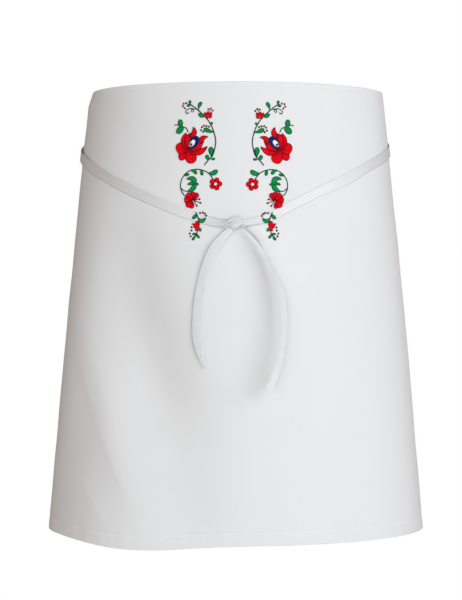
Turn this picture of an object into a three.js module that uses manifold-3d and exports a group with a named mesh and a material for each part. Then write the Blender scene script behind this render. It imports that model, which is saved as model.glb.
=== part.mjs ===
// Waist apron. A cotton panel goes over the front and both sides and leaves the back open. Two ribbon
// ties start at its top back corners, cross behind, come round the sides and are knotted in front, and
// their two free ends hang from the knot.
// Millimetres, +Z up, the front faces -Y. The origin is the middle of the waist, level with the top edge.

import * as THREE from 'three';
import { mergeVertices } from 'three/addons/utils/BufferGeometryUtils.js';
import Module from 'manifold-3d';

// Driving sizes of the panel
const apronLength = 500;
const cutWidth = 750;
const waistWidth = 336;
const waistDepth = 210;
const hemWidth = 429;
const hemDepth = 256;
const sideBow = 1.7;
const clothThickness = 1.2;
const topTurn = 10;
const bottomTurn = 15;
const sideTurn = 10;
const pieceGap = 0.3;

// Driving sizes of the ribbon and its knot
const ribbonWidth = 12;
const ribbonThickness = 1;
const ribbonSeat = 0.35;
const tieLap = 20;
const tieEdgeMargin = 2;
const crossReach = 60;
const crossFade = 36;
const knotWidth = 22;
const knotHeight = 13;
const knotDepth = 9;
const knotBite = 3;

const halfCut = cutWidth / 2;
const wallHalf = clothThickness / 2;

// Folds of the panel: each has a row for each level that it passes. down is the share of the length
// below the top edge, across the share of the half cut from the middle of the front (negative is the
// left as seen from the front), height the share of foldRise and reach the share of the half cut.
const foldRise = 14;
const folds = {
  hollow: [
    { down: 0.26, across: -0.34, height: 0, reach: 0.12 },
    { down: 0.39, across: -0.325, height: -0.52, reach: 0.12 },
    { down: 0.49, across: -0.31, height: -0.83, reach: 0.13 },
    { down: 0.58, across: -0.28, height: -0.97, reach: 0.135 },
    { down: 0.66, across: -0.24, height: -0.93, reach: 0.13 },
    { down: 0.74, across: -0.205, height: -0.57, reach: 0.12 },
    { down: 0.84, across: -0.165, height: -0.33, reach: 0.11 },
    { down: 1, across: -0.11, height: -0.14, reach: 0.11 },
  ],
  ridge: [
    { down: 0.52, across: -0.49, height: 0, reach: 0.05 },
    { down: 0.64, across: -0.44, height: 0.12, reach: 0.055 },
    { down: 0.78, across: -0.365, height: 0.17, reach: 0.06 },
    { down: 0.9, across: -0.31, height: 0.08, reach: 0.05 },
    { down: 1, across: -0.27, height: 0, reach: 0.05 },
  ],
  hemSwell: [
    { down: 0.66, across: -0.4, height: 0, reach: 0.1 },
    { down: 0.86, across: -0.4, height: 0.2, reach: 0.12 },
    { down: 1, across: -0.39, height: 0.3, reach: 0.12 },
  ],
  cornerTuck: [
    { down: 0, across: -0.6, height: -0.3, reach: 0.12 },
    { down: 0.03, across: -0.6, height: 0, reach: 0.12 },
  ],
};

// The hem hangs lowest left of the middle
const hemDrop = 7.2;
const hemDropPlace = { across: -0.3, reach: 0.2 };

// Ribbon routes over the front, a row for each place. across and down are shares as above, width is
// the share of the ribbon's width and lift the share of it by which the ribbon stands off the cloth.
const knotDown = 0.308;
const knotEntry = (knotWidth / 2 - knotBite) / halfCut;
const knotLift = (pieceGap + knotDepth / 2 - ribbonSeat - ribbonThickness / 2) / ribbonWidth;
const tieRoutes = {
  left: [
    { across: knotEntry, down: knotDown, width: 0.55, lift: knotLift },
    { across: 0.05, down: 0.307, width: 0.68, lift: 0.14 },
    { across: 0.09, down: 0.3, width: 0.78, lift: 0.02 },
    { across: 0.153, down: 0.285, width: 0.85, lift: 0 },
    { across: 0.232, down: 0.26, width: 0.95, lift: 0 },
    { across: 0.319, down: 0.232, width: 1, lift: 0 },
    { across: 0.435, down: 0.191, width: 1, lift: 0.04 },
    { across: 0.59, down: 0.139, width: 1, lift: 0.22 },
  ],
  right: [
    { across: knotEntry, down: knotDown, width: 0.55, lift: knotLift },
    { across: 0.05, down: 0.304, width: 0.66, lift: 0.16 },
    { across: 0.092, down: 0.296, width: 0.78, lift: 0.06 },
    { across: 0.156, down: 0.271, width: 0.85, lift: 0.02 },
    { across: 0.248, down: 0.237, width: 0.9, lift: 0 },
    { across: 0.337, down: 0.208, width: 1, lift: 0 },
    { across: 0.427, down: 0.174, width: 1, lift: 0.02 },
    { across: 0.575, down: 0.131, width: 1, lift: 0.1 },
  ],
};
const hiddenRouteCurve = 1.6;
const hiddenRouteSteps = [0.3, 0.5, 0.7, 0.85, 1];

// Routes of the two hanging ends. right, out and below say how far each place lies from the middle of
// the knot, as shares of the apron's length. roll is the turn of the ribbon about its own line in
// degrees, 0 facing the front, and width the share of the ribbon's width.
const tailRoutes = {
  left: [
    { right: -0.008, out: 0.001, below: 0.0087, roll: 15, width: 0.5 },
    { right: -0.015, out: 0.003, below: 0.0151, roll: 12, width: 0.6 },
    { right: -0.0262, out: 0.004, below: 0.0265, roll: 10, width: 0.75 },
    { right: -0.0385, out: 0.003, below: 0.0419, roll: 6, width: 0.9 },
    { right: -0.0505, out: 0.0005, below: 0.0609, roll: 4, width: 1 },
    { right: -0.0585, out: -0.002, below: 0.0799, roll: 2, width: 1 },
    { right: -0.0655, out: -0.0035, below: 0.0999, roll: 2, width: 1 },
    { right: -0.0715, out: -0.0045, below: 0.1209, roll: 4, width: 1 },
    { right: -0.0762, out: -0.005, below: 0.1419, roll: 5, width: 1 },
    { right: -0.0797, out: -0.005, below: 0.1639, roll: 5, width: 1 },
    { right: -0.0822, out: -0.005, below: 0.1859, roll: 5, width: 1 },
    { right: -0.0838, out: -0.005, below: 0.2079, roll: 6, width: 1 },
    { right: -0.0843, out: -0.005, below: 0.2289, roll: 8, width: 1 },
    { right: -0.083, out: -0.0044, below: 0.2499, roll: 10, width: 1 },
    { right: -0.08, out: -0.003, below: 0.2709, roll: 12, width: 0.9 },
    { right: -0.0745, out: -0.0005, below: 0.2919, roll: 14, width: 0.6 },
    { right: -0.067, out: 0.002, below: 0.3119, roll: 16, width: 0.2 },
  ],
  right: [
    { right: 0.011, out: 0.0016, below: 0.0047, roll: 45, width: 0.45 },
    { right: 0.0186, out: 0.0036, below: 0.0107, roll: 60, width: 0.55 },
    { right: 0.0306, out: 0.0072, below: 0.0221, roll: 70, width: 0.75 },
    { right: 0.0434, out: 0.0105, below: 0.0369, roll: 80, width: 0.9 },
    { right: 0.057, out: 0.013, below: 0.0579, roll: 92, width: 1 },
    { right: 0.068, out: 0.015, below: 0.0769, roll: 100, width: 1 },
    { right: 0.0774, out: 0.017, below: 0.0979, roll: 108, width: 1 },
    { right: 0.0856, out: 0.02, below: 0.1209, roll: 116, width: 1 },
    { right: 0.0926, out: 0.0235, below: 0.1459, roll: 124, width: 1 },
    { right: 0.0976, out: 0.027, below: 0.1719, roll: 128, width: 1 },
    { right: 0.1, out: 0.031, below: 0.1989, roll: 130, width: 1 },
    { right: 0.1, out: 0.035, below: 0.2259, roll: 130, width: 1 },
    { right: 0.0975, out: 0.039, below: 0.2529, roll: 130, width: 1 },
    { right: 0.0932, out: 0.043, below: 0.2799, roll: 130, width: 1 },
    { right: 0.0868, out: 0.046, below: 0.3069, roll: 132, width: 1 },
    { right: 0.078, out: 0.049, below: 0.3329, roll: 137, width: 1 },
    { right: 0.0662, out: 0.052, below: 0.3579, roll: 142, width: 1 },
  ],
};

// How finely the walls are faceted
const panelColumns = 62;
const panelRows = 24;
const rowClearance = 0.3;
const tieStep = 8.5;
const tailSections = 30;
const lumpSides = 12;
const lumpRings = 8;
const arcSteps = 240;
const slopeStep = 0.001;

const clothMaterial = new THREE.MeshStandardMaterial({ color: 0xf2f1f1, roughness: 0.9, metalness: 0 });
const ribbonMaterial = new THREE.MeshStandardMaterial({ color: 0xf4f4f5, roughness: 0.55, metalness: 0 });

// Smooth curve through a table: the columns of the rows at place x of the column named key
function rowAt(rows, key, x) {
  const last = rows.length - 1;
  if (x <= rows[0][key]) return { ...rows[0] };
  if (x >= rows[last][key]) return { ...rows[last] };
  let i = 0;
  while (rows[i + 1][key] < x) i += 1;
  const span = rows[i + 1][key] - rows[i][key];
  const t = (x - rows[i][key]) / span;
  const result = {};
  for (const name of Object.keys(rows[i])) {
    const slope = (k) => {
      const low = Math.max(k - 1, 0);
      const high = Math.min(k + 1, last);
      return (rows[high][name] - rows[low][name]) / (rows[high][key] - rows[low][key]);
    };
    const t2 = t * t;
    const t3 = t2 * t;
    result[name] = (2 * t3 - 3 * t2 + 1) * rows[i][name] + (3 * t2 - 2 * t3) * rows[i + 1][name]
      + (t3 - 2 * t2 + t) * span * slope(i) + (t3 - t2) * span * slope(i + 1);
  }
  return result;
}

// The panel's level section is an ellipse that widens from the waist to the hem
function sectionAt(down) {
  const bow = sideBow * Math.sin(Math.PI * Math.min(Math.max(down, 0), 1));
  return {
    halfWidth: THREE.MathUtils.lerp(waistWidth, hemWidth, down) / 2 + bow,
    halfDepth: THREE.MathUtils.lerp(waistDepth, hemDepth, down) / 2,
  };
}

// Lengths along half an ellipse, from the middle of the front to the middle of the back
const arcTables = new Map();
function arcTable(down) {
  const key = down.toFixed(6);
  if (arcTables.has(key)) return arcTables.get(key);
  const { halfWidth, halfDepth } = sectionAt(down);
  const lengths = [0];
  for (let i = 1; i <= arcSteps; i += 1) {
    const a0 = (Math.PI * (i - 1)) / arcSteps;
    const a1 = (Math.PI * i) / arcSteps;
    const dx = halfWidth * (Math.sin(a1) - Math.sin(a0));
    const dy = halfDepth * (Math.cos(a1) - Math.cos(a0));
    lengths.push(lengths[i - 1] + Math.hypot(dx, dy));
  }
  arcTables.set(key, lengths);
  return lengths;
}

// Angle round the section, from the middle of the front, at a length along the cloth
function angleAt(down, along) {
  const lengths = arcTable(down);
  const half = lengths[arcSteps];
  const distance = Math.abs(along);
  if (distance > half) return Math.sign(along) * (2 * Math.PI - angleAt(down, 2 * half - distance));
  let i = 0;
  while (i < arcSteps - 1 && lengths[i + 1] < distance) i += 1;
  const share = (distance - lengths[i]) / (lengths[i + 1] - lengths[i]);
  return Math.sign(along) * ((i + share) * Math.PI) / arcSteps;
}

function foldHeight(across, down) {
  let height = 0;
  for (const rows of Object.values(folds)) {
    const fold = rowAt(rows, 'down', down);
    height += foldRise * fold.height * Math.exp(-(((across - fold.across) / fold.reach) ** 2));
  }
  return height;
}

// A point on the cloth, standing off its middle surface by a distance along the outward normal
function clothPoint(across, down, off) {
  const { halfWidth, halfDepth } = sectionAt(down);
  const angle = angleAt(down, across * halfCut);
  const x = halfWidth * Math.sin(angle);
  const y = -halfDepth * Math.cos(angle);
  const normal = new THREE.Vector2(Math.sin(angle) / halfWidth, -Math.cos(angle) / halfDepth).normalize();
  const rise = off + foldHeight(across, down);
  const dip = hemDrop * Math.exp(-(((across - hemDropPlace.across) / hemDropPlace.reach) ** 2));
  const flare = (hemWidth - waistWidth) / 2 * Math.abs(Math.sin(angle));
  const slant = Math.sqrt(1 - (flare / apronLength) ** 2);
  const z = -apronLength * down * slant - dip * down ** 2;
  return new THREE.Vector3(x + normal.x * rise, y + normal.y * rise, z);
}

// A closed wall from a grid of point pairs: outer[i][j] faces out and inner[i][j] faces in
function wallGeometry(outer, inner) {
  const columns = outer.length;
  const rows = outer[0].length;
  const positions = [];
  const index = [];
  for (const grid of [outer, inner]) {
    for (const line of grid) {
      for (const point of line) positions.push(point.x, point.y, point.z);
    }
  }
  const at = (side, i, j) => (side * columns + i) * rows + j;
  const quad = (a, b, c, d) => index.push(a, b, c, a, c, d);
  for (let i = 0; i < columns - 1; i += 1) {
    for (let j = 0; j < rows - 1; j += 1) {
      quad(at(0, i, j), at(0, i, j + 1), at(0, i + 1, j + 1), at(0, i + 1, j));
      quad(at(1, i, j), at(1, i + 1, j), at(1, i + 1, j + 1), at(1, i, j + 1));
    }
  }
  for (let i = 0; i < columns - 1; i += 1) {
    quad(at(0, i, 0), at(0, i + 1, 0), at(1, i + 1, 0), at(1, i, 0));
    quad(at(0, i, rows - 1), at(1, i, rows - 1), at(1, i + 1, rows - 1), at(0, i + 1, rows - 1));
  }
  for (let j = 0; j < rows - 1; j += 1) {
    quad(at(0, 0, j), at(1, 0, j), at(1, 0, j + 1), at(0, 0, j + 1));
    quad(at(0, columns - 1, j), at(0, columns - 1, j + 1), at(1, columns - 1, j + 1), at(1, columns - 1, j));
  }
  const geometry = new THREE.BufferGeometry();
  geometry.setAttribute('position', new THREE.Float32BufferAttribute(positions, 3));
  geometry.setIndex(index);
  return geometry;
}

// Every wall of cloth is faceted at the same shares across and down, so that walls which lie against
// each other stay parallel
const columnShares = [];
for (let i = 0; i <= panelColumns; i += 1) columnShares.push((2 * i) / panelColumns - 1);
const turnRows = [topTurn / apronLength, 1 - bottomTurn / apronLength];
const rowShares = [...turnRows];
for (let i = 0; i <= panelRows; i += 1) {
  const share = i / panelRows;
  const clear = turnRows.every((turnRow) => Math.abs(share - turnRow) > rowClearance / panelRows);
  if (clear) rowShares.push(share);
}
rowShares.sort((a, b) => a - b);

// A piece of cloth between two shares across and two shares down
function clothWall(acrossRange, downRange, middle) {
  const between = (shares, [from, to]) => {
    const inside = shares.filter((share) => share > from && share < to);
    return [from, ...inside, to];
  };
  const columns = between(columnShares, acrossRange);
  const rows = between(rowShares, downRange);
  const grid = (off) => columns.map((across) => rows.map((down) => clothPoint(across, down, off)));
  return wallGeometry(grid(middle + wallHalf), grid(middle - wallHalf));
}

function named(name, geometry, material) {
  const mesh = new THREE.Mesh(geometry, material);
  mesh.name = name;
  return mesh;
}

const insideMiddle = -(clothThickness + pieceGap);
const edgeDown = pieceGap / apronLength;
const edgeAcross = pieceGap / halfCut;

function skirtPanel() {
  return named('skirt_panel', clothWall([-1, 1], [0, 1], 0), clothMaterial);
}

function topHem() {
  const downRange = [edgeDown, topTurn / apronLength];
  const acrossRange = [-1 + edgeAcross, 1 - edgeAcross];
  return named('top_hem', clothWall(acrossRange, downRange, insideMiddle), clothMaterial);
}

function bottomHem() {
  const downRange = [1 - bottomTurn / apronLength, 1 - edgeDown];
  const acrossRange = [-1 + edgeAcross, 1 - edgeAcross];
  return named('bottom_hem', clothWall(acrossRange, downRange, insideMiddle), clothMaterial);
}

function sideHem(side, name) {
  const downRange = [topTurn / apronLength + edgeDown, 1 - bottomTurn / apronLength - edgeDown];
  const edges = [side * (1 - edgeAcross), side * (1 - sideTurn / halfCut)];
  edges.sort((a, b) => a - b);
  return named(name, clothWall(edges, downRange, insideMiddle), clothMaterial);
}

// The whole route of a tie: the rows over the front, then the hidden run round the back to the far
// corner, where the ribbon laps over the panel
function tieRoute(frontRows) {
  const start = frontRows[frontRows.length - 1];
  const endDown = (tieEdgeMargin + ribbonWidth / 2) / apronLength;
  const farEdge = (2 * arcTable(endDown)[arcSteps]) / halfCut - 1;
  const endAcross = farEdge + tieLap / halfCut;
  const hidden = hiddenRouteSteps.map((t) => ({
    across: THREE.MathUtils.lerp(start.across, endAcross, t),
    down: endDown + (start.down - endDown) * (1 - t) ** hiddenRouteCurve,
    width: 1,
    lift: 0,
  }));
  return [...frontRows, ...hidden];
}

// A tie lies on the panel. Where the two ties cross behind, the outer one passes over the inner one.
// A margin makes it larger all round, for the slot that its end sits in.
function tieGeometry(frontRows, side, outer, margin) {
  const rows = tieRoute(frontRows);
  const from = rows[0].across;
  const to = rows[rows.length - 1].across;
  const count = Math.round(((to - from) * halfCut) / tieStep);
  const seat = wallHalf + ribbonSeat + ribbonThickness / 2;
  const crossLift = ribbonThickness + pieceGap;
  const deep = ribbonThickness / 2 + margin;
  const outerGrid = [];
  const innerGrid = [];
  for (let i = 0; i <= count; i += 1) {
    const across = THREE.MathUtils.lerp(from, to, i / count);
    const here = rowAt(rows, 'across', across);
    const before = rowAt(rows, 'across', across - slopeStep);
    const after = rowAt(rows, 'across', across + slopeStep);
    const fall = (after.down - before.down) * apronLength;
    const line = new THREE.Vector2((after.across - before.across) * halfCut, fall).normalize();
    const half = (here.width * ribbonWidth) / 2 + margin;
    const fromBack = Math.abs(across * halfCut - arcTable(here.down)[arcSteps]);
    const apart = THREE.MathUtils.smoothstep(fromBack, crossReach, crossReach + crossFade);
    const crossing = outer ? crossLift * (1 - apart) : 0;
    const off = seat + Math.max(here.lift, 0) * ribbonWidth + crossing;
    const along = i === 0 ? across - margin / halfCut : across;
    const edge = (sign, depth) => {
      const edgeAlong = along - (sign * line.y * half) / halfCut;
      const edgeBelow = here.down + (sign * line.x * half) / apronLength;
      return clothPoint(side * edgeAlong, edgeBelow, off + depth);
    };
    outerGrid.push([edge(-1, deep), edge(1, deep)]);
    innerGrid.push([edge(-1, -deep), edge(1, -deep)]);
  }
  if (side < 0) {
    outerGrid.reverse();
    innerGrid.reverse();
  }
  return wallGeometry(outerGrid, innerGrid);
}

// The middle of the knot, which lies on the panel
function knotCentre() {
  return clothPoint(0, knotDown, wallHalf + pieceGap + knotDepth / 2);
}

// A free ribbon end along its route, turned about its own line by the roll of each row. A margin
// makes it larger all round, for the slot that its root sits in.
function tailGeometry(routeRows, margin) {
  const start = knotCentre();
  const places = routeRows.map((row) => {
    const shares = new THREE.Vector3(row.right, -row.out, -row.below);
    return start.clone().addScaledVector(shares, apronLength);
  });
  const curve = new THREE.CatmullRomCurve3(places);
  const last = routeRows.length - 1;
  const table = routeRows.map((row, i) => ({ share: i / last, ...row }));
  const front = new THREE.Vector3(0, -1, 0);
  const deep = ribbonThickness / 2 + margin;
  const outerGrid = [];
  const innerGrid = [];
  for (let i = 0; i <= tailSections; i += 1) {
    const share = i / tailSections;
    const here = rowAt(table, 'share', share);
    const line = curve.getTangent(share);
    const centre = curve.getPoint(share);
    if (i === 0) centre.addScaledVector(line, -margin);
    const across = new THREE.Vector3().crossVectors(line, front).normalize();
    across.applyAxisAngle(line, THREE.MathUtils.degToRad(here.roll));
    const face = new THREE.Vector3().crossVectors(across, line).normalize();
    const half = (here.width * ribbonWidth) / 2 + margin;
    const point = (sign, depth) => {
      const place = centre.clone().addScaledVector(across, sign * half);
      return place.addScaledVector(face, depth);
    };
    outerGrid.push([point(-1, deep), point(1, deep)]);
    innerGrid.push([point(-1, -deep), point(1, -deep)]);
  }
  return wallGeometry(outerGrid, innerGrid);
}

// The four ribbon runs, each as a function of the margin that it is grown by
const ribbonRuns = {
  tie_left: (margin) => tieGeometry(tieRoutes.left, -1, false, margin),
  tie_right: (margin) => tieGeometry(tieRoutes.right, 1, true, margin),
  tail_left: (margin) => tailGeometry(tailRoutes.left, margin),
  tail_right: (margin) => tailGeometry(tailRoutes.right, margin),
};

// Rounded lumps of the knot as shares of its width, depth and height, with a turn in degrees: the
// pleated bundle, the band wrapped over it and the bunched fold that stands over them
const knotLumps = [
  { x: 0, z: 0, width: 1, depth: 0.8, height: 0.62, turn: 0 },
  { x: 0.03, z: -0.04, width: 0.5, depth: 1, height: 0.98, turn: 30 },
  { x: -0.1, z: 0.36, width: 0.56, depth: 0.7, height: 0.5, turn: 8 },
];

const wasm = await Module();
wasm.setup();

function asSolid(geometry) {
  const plain = geometry.clone();
  plain.deleteAttribute('normal');
  plain.deleteAttribute('uv');
  const merged = mergeVertices(plain);
  const vertProperties = new Float32Array(merged.attributes.position.array);
  const triVerts = new Uint32Array(merged.index.array);
  return new wasm.Manifold(new wasm.Mesh({ numProp: 3, vertProperties, triVerts }));
}

function knot() {
  const centre = knotCentre();
  let solid = null;
  for (const lump of knotLumps) {
    const ball = new THREE.SphereGeometry(0.5, lumpSides, lumpRings);
    ball.scale(lump.width * knotWidth, lump.depth * knotDepth, lump.height * knotHeight);
    ball.rotateY(THREE.MathUtils.degToRad(lump.turn));
    ball.translate(centre.x + lump.x * knotWidth, centre.y, centre.z + lump.z * knotHeight);
    solid = solid ? solid.add(asSolid(ball)) : asSolid(ball);
  }
  for (const run of Object.values(ribbonRuns)) solid = solid.subtract(asSolid(run(pieceGap)));
  const mesh = solid.getMesh();
  const geometry = new THREE.BufferGeometry();
  geometry.setAttribute('position', new THREE.Float32BufferAttribute(mesh.vertProperties, mesh.numProp));
  geometry.setIndex(new THREE.Uint32BufferAttribute(mesh.triVerts, 1));
  return named('knot', geometry, ribbonMaterial);
}

const apron = new THREE.Group();
apron.add(skirtPanel());
apron.add(topHem());
apron.add(bottomHem());
apron.add(sideHem(-1, 'side_hem_left'));
apron.add(sideHem(1, 'side_hem_right'));
apron.add(knot());
for (const [name, run] of Object.entries(ribbonRuns)) apron.add(named(name, run(0), ribbonMaterial));

export default apron;
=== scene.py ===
# %% [markdown]
# A waist apron, knotted in front. One sheet of white cotton goes over the front and both sides and is
# open behind. A white ribbon starts at each top back corner, crosses behind, comes round the side and is
# tied in front, where two loose ends hang. Two mirrored sprays of folk flowers are embroidered on it.
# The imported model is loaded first, because every piece below takes its place and size from it.

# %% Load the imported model
import math

import bpy
import numpy as np
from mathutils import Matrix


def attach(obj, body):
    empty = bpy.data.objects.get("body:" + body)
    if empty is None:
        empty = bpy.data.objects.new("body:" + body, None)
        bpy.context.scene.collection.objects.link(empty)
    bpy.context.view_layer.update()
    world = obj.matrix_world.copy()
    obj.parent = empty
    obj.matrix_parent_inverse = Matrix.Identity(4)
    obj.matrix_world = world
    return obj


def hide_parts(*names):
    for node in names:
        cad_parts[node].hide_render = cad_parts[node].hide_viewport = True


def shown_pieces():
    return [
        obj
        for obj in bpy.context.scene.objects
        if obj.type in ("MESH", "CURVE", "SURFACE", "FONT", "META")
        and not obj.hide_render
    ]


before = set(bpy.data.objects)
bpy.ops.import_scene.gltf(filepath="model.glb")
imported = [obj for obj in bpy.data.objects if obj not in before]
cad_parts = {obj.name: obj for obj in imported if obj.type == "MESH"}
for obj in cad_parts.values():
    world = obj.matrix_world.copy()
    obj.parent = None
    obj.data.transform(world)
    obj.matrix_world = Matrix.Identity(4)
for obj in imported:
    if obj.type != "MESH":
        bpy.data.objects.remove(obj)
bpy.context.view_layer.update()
MM = 0.001

# %% [markdown]
# The camera looks level at the middle of the apron from 1.73 m, as for a catalogue picture. A long lens
# keeps the width of the hem and of the waist in proportion. The focal length is known in pixels of the
# 462 by 600 picture, and the sensor width belongs to the picture's longer side, its height.

# %% Make the camera
PICTURE_HEIGHT = 600
FOCAL_PIXELS = 1498.7
SENSOR = 36
CAMERA_PLACE = (-0.0058, -1.73, -0.2369)

camera_data = bpy.data.cameras.new("front_camera")
camera_data.sensor_width = SENSOR
camera_data.lens = SENSOR * FOCAL_PIXELS / PICTURE_HEIGHT
camera = bpy.data.objects.new("front_camera", camera_data)
camera.location = CAMERA_PLACE
camera.rotation_euler = (math.pi / 2, 0, 0)
bpy.context.scene.collection.objects.link(camera)
bpy.context.scene.camera = camera
print("lens:", round(camera_data.lens, 1), "mm")

# %% [markdown]
# Cloth is easiest to shape in its own two directions: across, from -1 at one back edge over 0 at the
# middle of the front to 1 at the other, and down, from 0 at the waist to 1 at the hem. Folds are rows of
# a table in those shares. A smooth curve through the rows gives each fold's place, height and reach at
# every level, which could also be done with a curve object, but here it works on whole arrays at once.

# %% Sizes and the table of folds
APRON_LENGTH = 0.500
CUT_WIDTH = 0.750
WAIST_WIDTH = 0.336
WAIST_DEPTH = 0.210
HEM_WIDTH = 0.429
HEM_DEPTH = 0.256
SIDE_BOW = 0.0017
FOLD_RISE = 0.014
HEM_DROP = 0.0072
HEM_DROP_ACROSS = -0.3
HEM_DROP_REACH = 0.2
HALF_CUT = CUT_WIDTH / 2
WALL_HALF = 0.0006


def table(columns, rows):
    """A small table: the name of each column and its values."""
    return dict(zip(columns.split(), np.array(rows, float).T))


FOLDS = {
    "hollow": table("down across height reach", [
        (0.26, -0.34, 0, 0.12),
        (0.39, -0.325, -0.52, 0.12),
        (0.49, -0.31, -0.83, 0.13),
        (0.58, -0.28, -0.97, 0.135),
        (0.66, -0.24, -0.93, 0.13),
        (0.74, -0.205, -0.57, 0.12),
        (0.84, -0.165, -0.33, 0.11),
        (1, -0.11, -0.14, 0.11),
    ]),
    "ridge": table("down across height reach", [
        (0.52, -0.49, 0, 0.05),
        (0.64, -0.44, 0.12, 0.055),
        (0.78, -0.365, 0.17, 0.06),
        (0.9, -0.31, 0.08, 0.05),
        (1, -0.27, 0, 0.05),
    ]),
    "hem_swell": table("down across height reach", [
        (0.66, -0.4, 0, 0.1),
        (0.86, -0.4, 0.2, 0.12),
        (1, -0.39, 0.3, 0.12),
    ]),
    "corner_tuck": table("down across height reach", [
        (0, -0.6, -0.3, 0.12),
        (0.03, -0.6, 0, 0.12),
    ]),
}


def row_at(rows, key, x):
    """All columns at places x of the column named key, on a smooth curve through the rows."""
    place = rows[key]
    last = len(place) - 1
    x = np.clip(np.asarray(x, float), place[0], place[-1])
    i = np.clip(np.searchsorted(place, x, side="right") - 1, 0, last - 1)
    span = place[i + 1] - place[i]
    t = (x - place[i]) / span
    low = np.maximum(np.arange(last + 1) - 1, 0)
    high = np.minimum(np.arange(last + 1) + 1, last)
    result = {}
    for name, values in rows.items():
        slope = (values[high] - values[low]) / (place[high] - place[low])
        result[name] = (
            (2 * t**3 - 3 * t**2 + 1) * values[i]
            + (3 * t**2 - 2 * t**3) * values[i + 1]
            + (t**3 - 2 * t**2 + t) * span * slope[i]
            + (t**3 - t**2) * span * slope[i + 1]
        )
    return result


print("folds:", ", ".join(FOLDS))

# %% [markdown]
# A worn panel keeps a body's round shape, so its level section is an ellipse that widens from the waist
# to the hem. A place on the cloth is found by its length along that ellipse, because cloth doesn't
# stretch. The arc lengths are added up once for many levels, and each place is looked up between them.

# %% From a place on the cloth to a point in space
ARC_STEPS = 480
LEVEL_STEPS = 120
ALONG_STEPS = 600
ALONG_REACH = 0.6


def section(down):
    """Half width and half depth of the level ellipse."""
    bow = SIDE_BOW * np.sin(np.pi * np.clip(down, 0, 1))
    half_width = (WAIST_WIDTH + (HEM_WIDTH - WAIST_WIDTH) * down) / 2 + bow
    half_depth = (WAIST_DEPTH + (HEM_DEPTH - WAIST_DEPTH) * down) / 2
    return half_width, half_depth


def angle_table():
    """Angles round the ellipse, a row for each level and a column for each length along the cloth."""
    turn = np.linspace(0, 2 * np.pi, ARC_STEPS + 1)
    along = np.linspace(0, ALONG_REACH, ALONG_STEPS + 1)
    rows = []
    for level in np.linspace(0, 1, LEVEL_STEPS + 1):
        half_width, half_depth = section(level)
        steps = np.hypot(np.diff(np.sin(turn)) * half_width, np.diff(np.cos(turn)) * half_depth)
        rows.append(np.interp(along, np.concatenate([[0], np.cumsum(steps)]), turn))
    return np.array(rows)


ANGLES = angle_table()


def angle_at(down, along):
    """Angle from the middle of the front at a length along the cloth."""
    down, along = np.broadcast_arrays(np.asarray(down, float), np.asarray(along, float))
    level = np.clip(down, 0, 1) * LEVEL_STEPS
    step = np.clip(np.abs(along) / ALONG_REACH, 0, 1) * ALONG_STEPS
    i = np.minimum(level.astype(int), LEVEL_STEPS - 1)
    j = np.minimum(step.astype(int), ALONG_STEPS - 1)
    s, t = level - i, step - j
    upper = ANGLES[i, j] * (1 - t) + ANGLES[i, j + 1] * t
    lower = ANGLES[i + 1, j] * (1 - t) + ANGLES[i + 1, j + 1] * t
    return np.sign(along) * (upper * (1 - s) + lower * s)


def half_girth(down):
    """Length along the cloth from the middle of the front to the middle of the back."""
    turn = np.linspace(0, np.pi, ARC_STEPS // 2 + 1)
    half_width, half_depth = section(down)
    return np.hypot(np.diff(np.sin(turn)) * half_width, np.diff(np.cos(turn)) * half_depth).sum()


print("girth of the waist:", round(2 * half_girth(0), 3), "m")

# %% [markdown]
# Besides the big folds the cloth has small ones: a dent along each line of stitching with tiny puckers,
# a few creases, a slow unevenness, and the press of the ribbon. These would be lost as a flat picture of
# bumps, so they move the surface itself. Each is a short function of the same two directions.

# %% Ribbon routes over the front, and the small relief of the cloth
RIBBON_WIDTH = 0.012
KNOT_WIDTH = 0.022
KNOT_DEPTH = 0.009
KNOT_BITE = 0.003
PIECE_GAP = 0.0003
KNOT_DOWN = 0.308
KNOT_ENTRY = (KNOT_WIDTH / 2 - KNOT_BITE) / HALF_CUT
KNOT_LIFT = (PIECE_GAP + KNOT_DEPTH / 2 - 0.00085) / RIBBON_WIDTH

TIE_ROUTES = {
    "left": [
        (KNOT_ENTRY, KNOT_DOWN, 0.55, KNOT_LIFT),
        (0.05, 0.307, 0.68, 0.14),
        (0.09, 0.3, 0.78, 0.02),
        (0.153, 0.285, 0.85, 0),
        (0.232, 0.26, 0.95, 0),
        (0.319, 0.232, 1, 0),
        (0.435, 0.191, 1, 0.04),
        (0.59, 0.139, 1, 0.22),
    ],
    "right": [
        (KNOT_ENTRY, KNOT_DOWN, 0.55, KNOT_LIFT),
        (0.05, 0.304, 0.66, 0.16),
        (0.092, 0.296, 0.78, 0.06),
        (0.156, 0.271, 0.85, 0.02),
        (0.248, 0.237, 0.9, 0),
        (0.337, 0.208, 1, 0),
        (0.427, 0.174, 1, 0.02),
        (0.575, 0.131, 1, 0.1),
    ],
}
RIBBON_HEIGHT = 0.0009
COVER_RAMP = 0.001
TOP_STITCH = 0.0035
BOTTOM_STITCH = 0.0135
SIDE_STITCH = 0.008
CREASES = [
    {"start": (-0.221, 0.782), "end": (-0.103, 0.824), "rise": -0.0006, "reach": 0.004},
    {"start": (-0.480, 0.872), "end": (-0.388, 0.954), "rise": 0.0007, "reach": 0.004},
    {"start": (-0.507, 0.608), "end": (-0.429, 0.731), "rise": 0.0006, "reach": 0.004},
    {"start": (-0.429, 0.731), "end": (-0.303, 0.913), "rise": 0.0006, "reach": 0.005},
]


def uneven(x, wavelength, seed):
    """A smooth irregular wave, about -1 to 1."""
    phases = np.random.RandomState(seed).uniform(0, 2 * np.pi, 4)
    waves = [np.sin(2 * np.pi * x / (wavelength * s) + p) for s, p in zip((1, 0.71, 1.37, 2.3), phases)]
    return sum(waves) / 2.2


def bump(distance, reach):
    return np.exp(-((distance / reach) ** 2))


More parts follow.
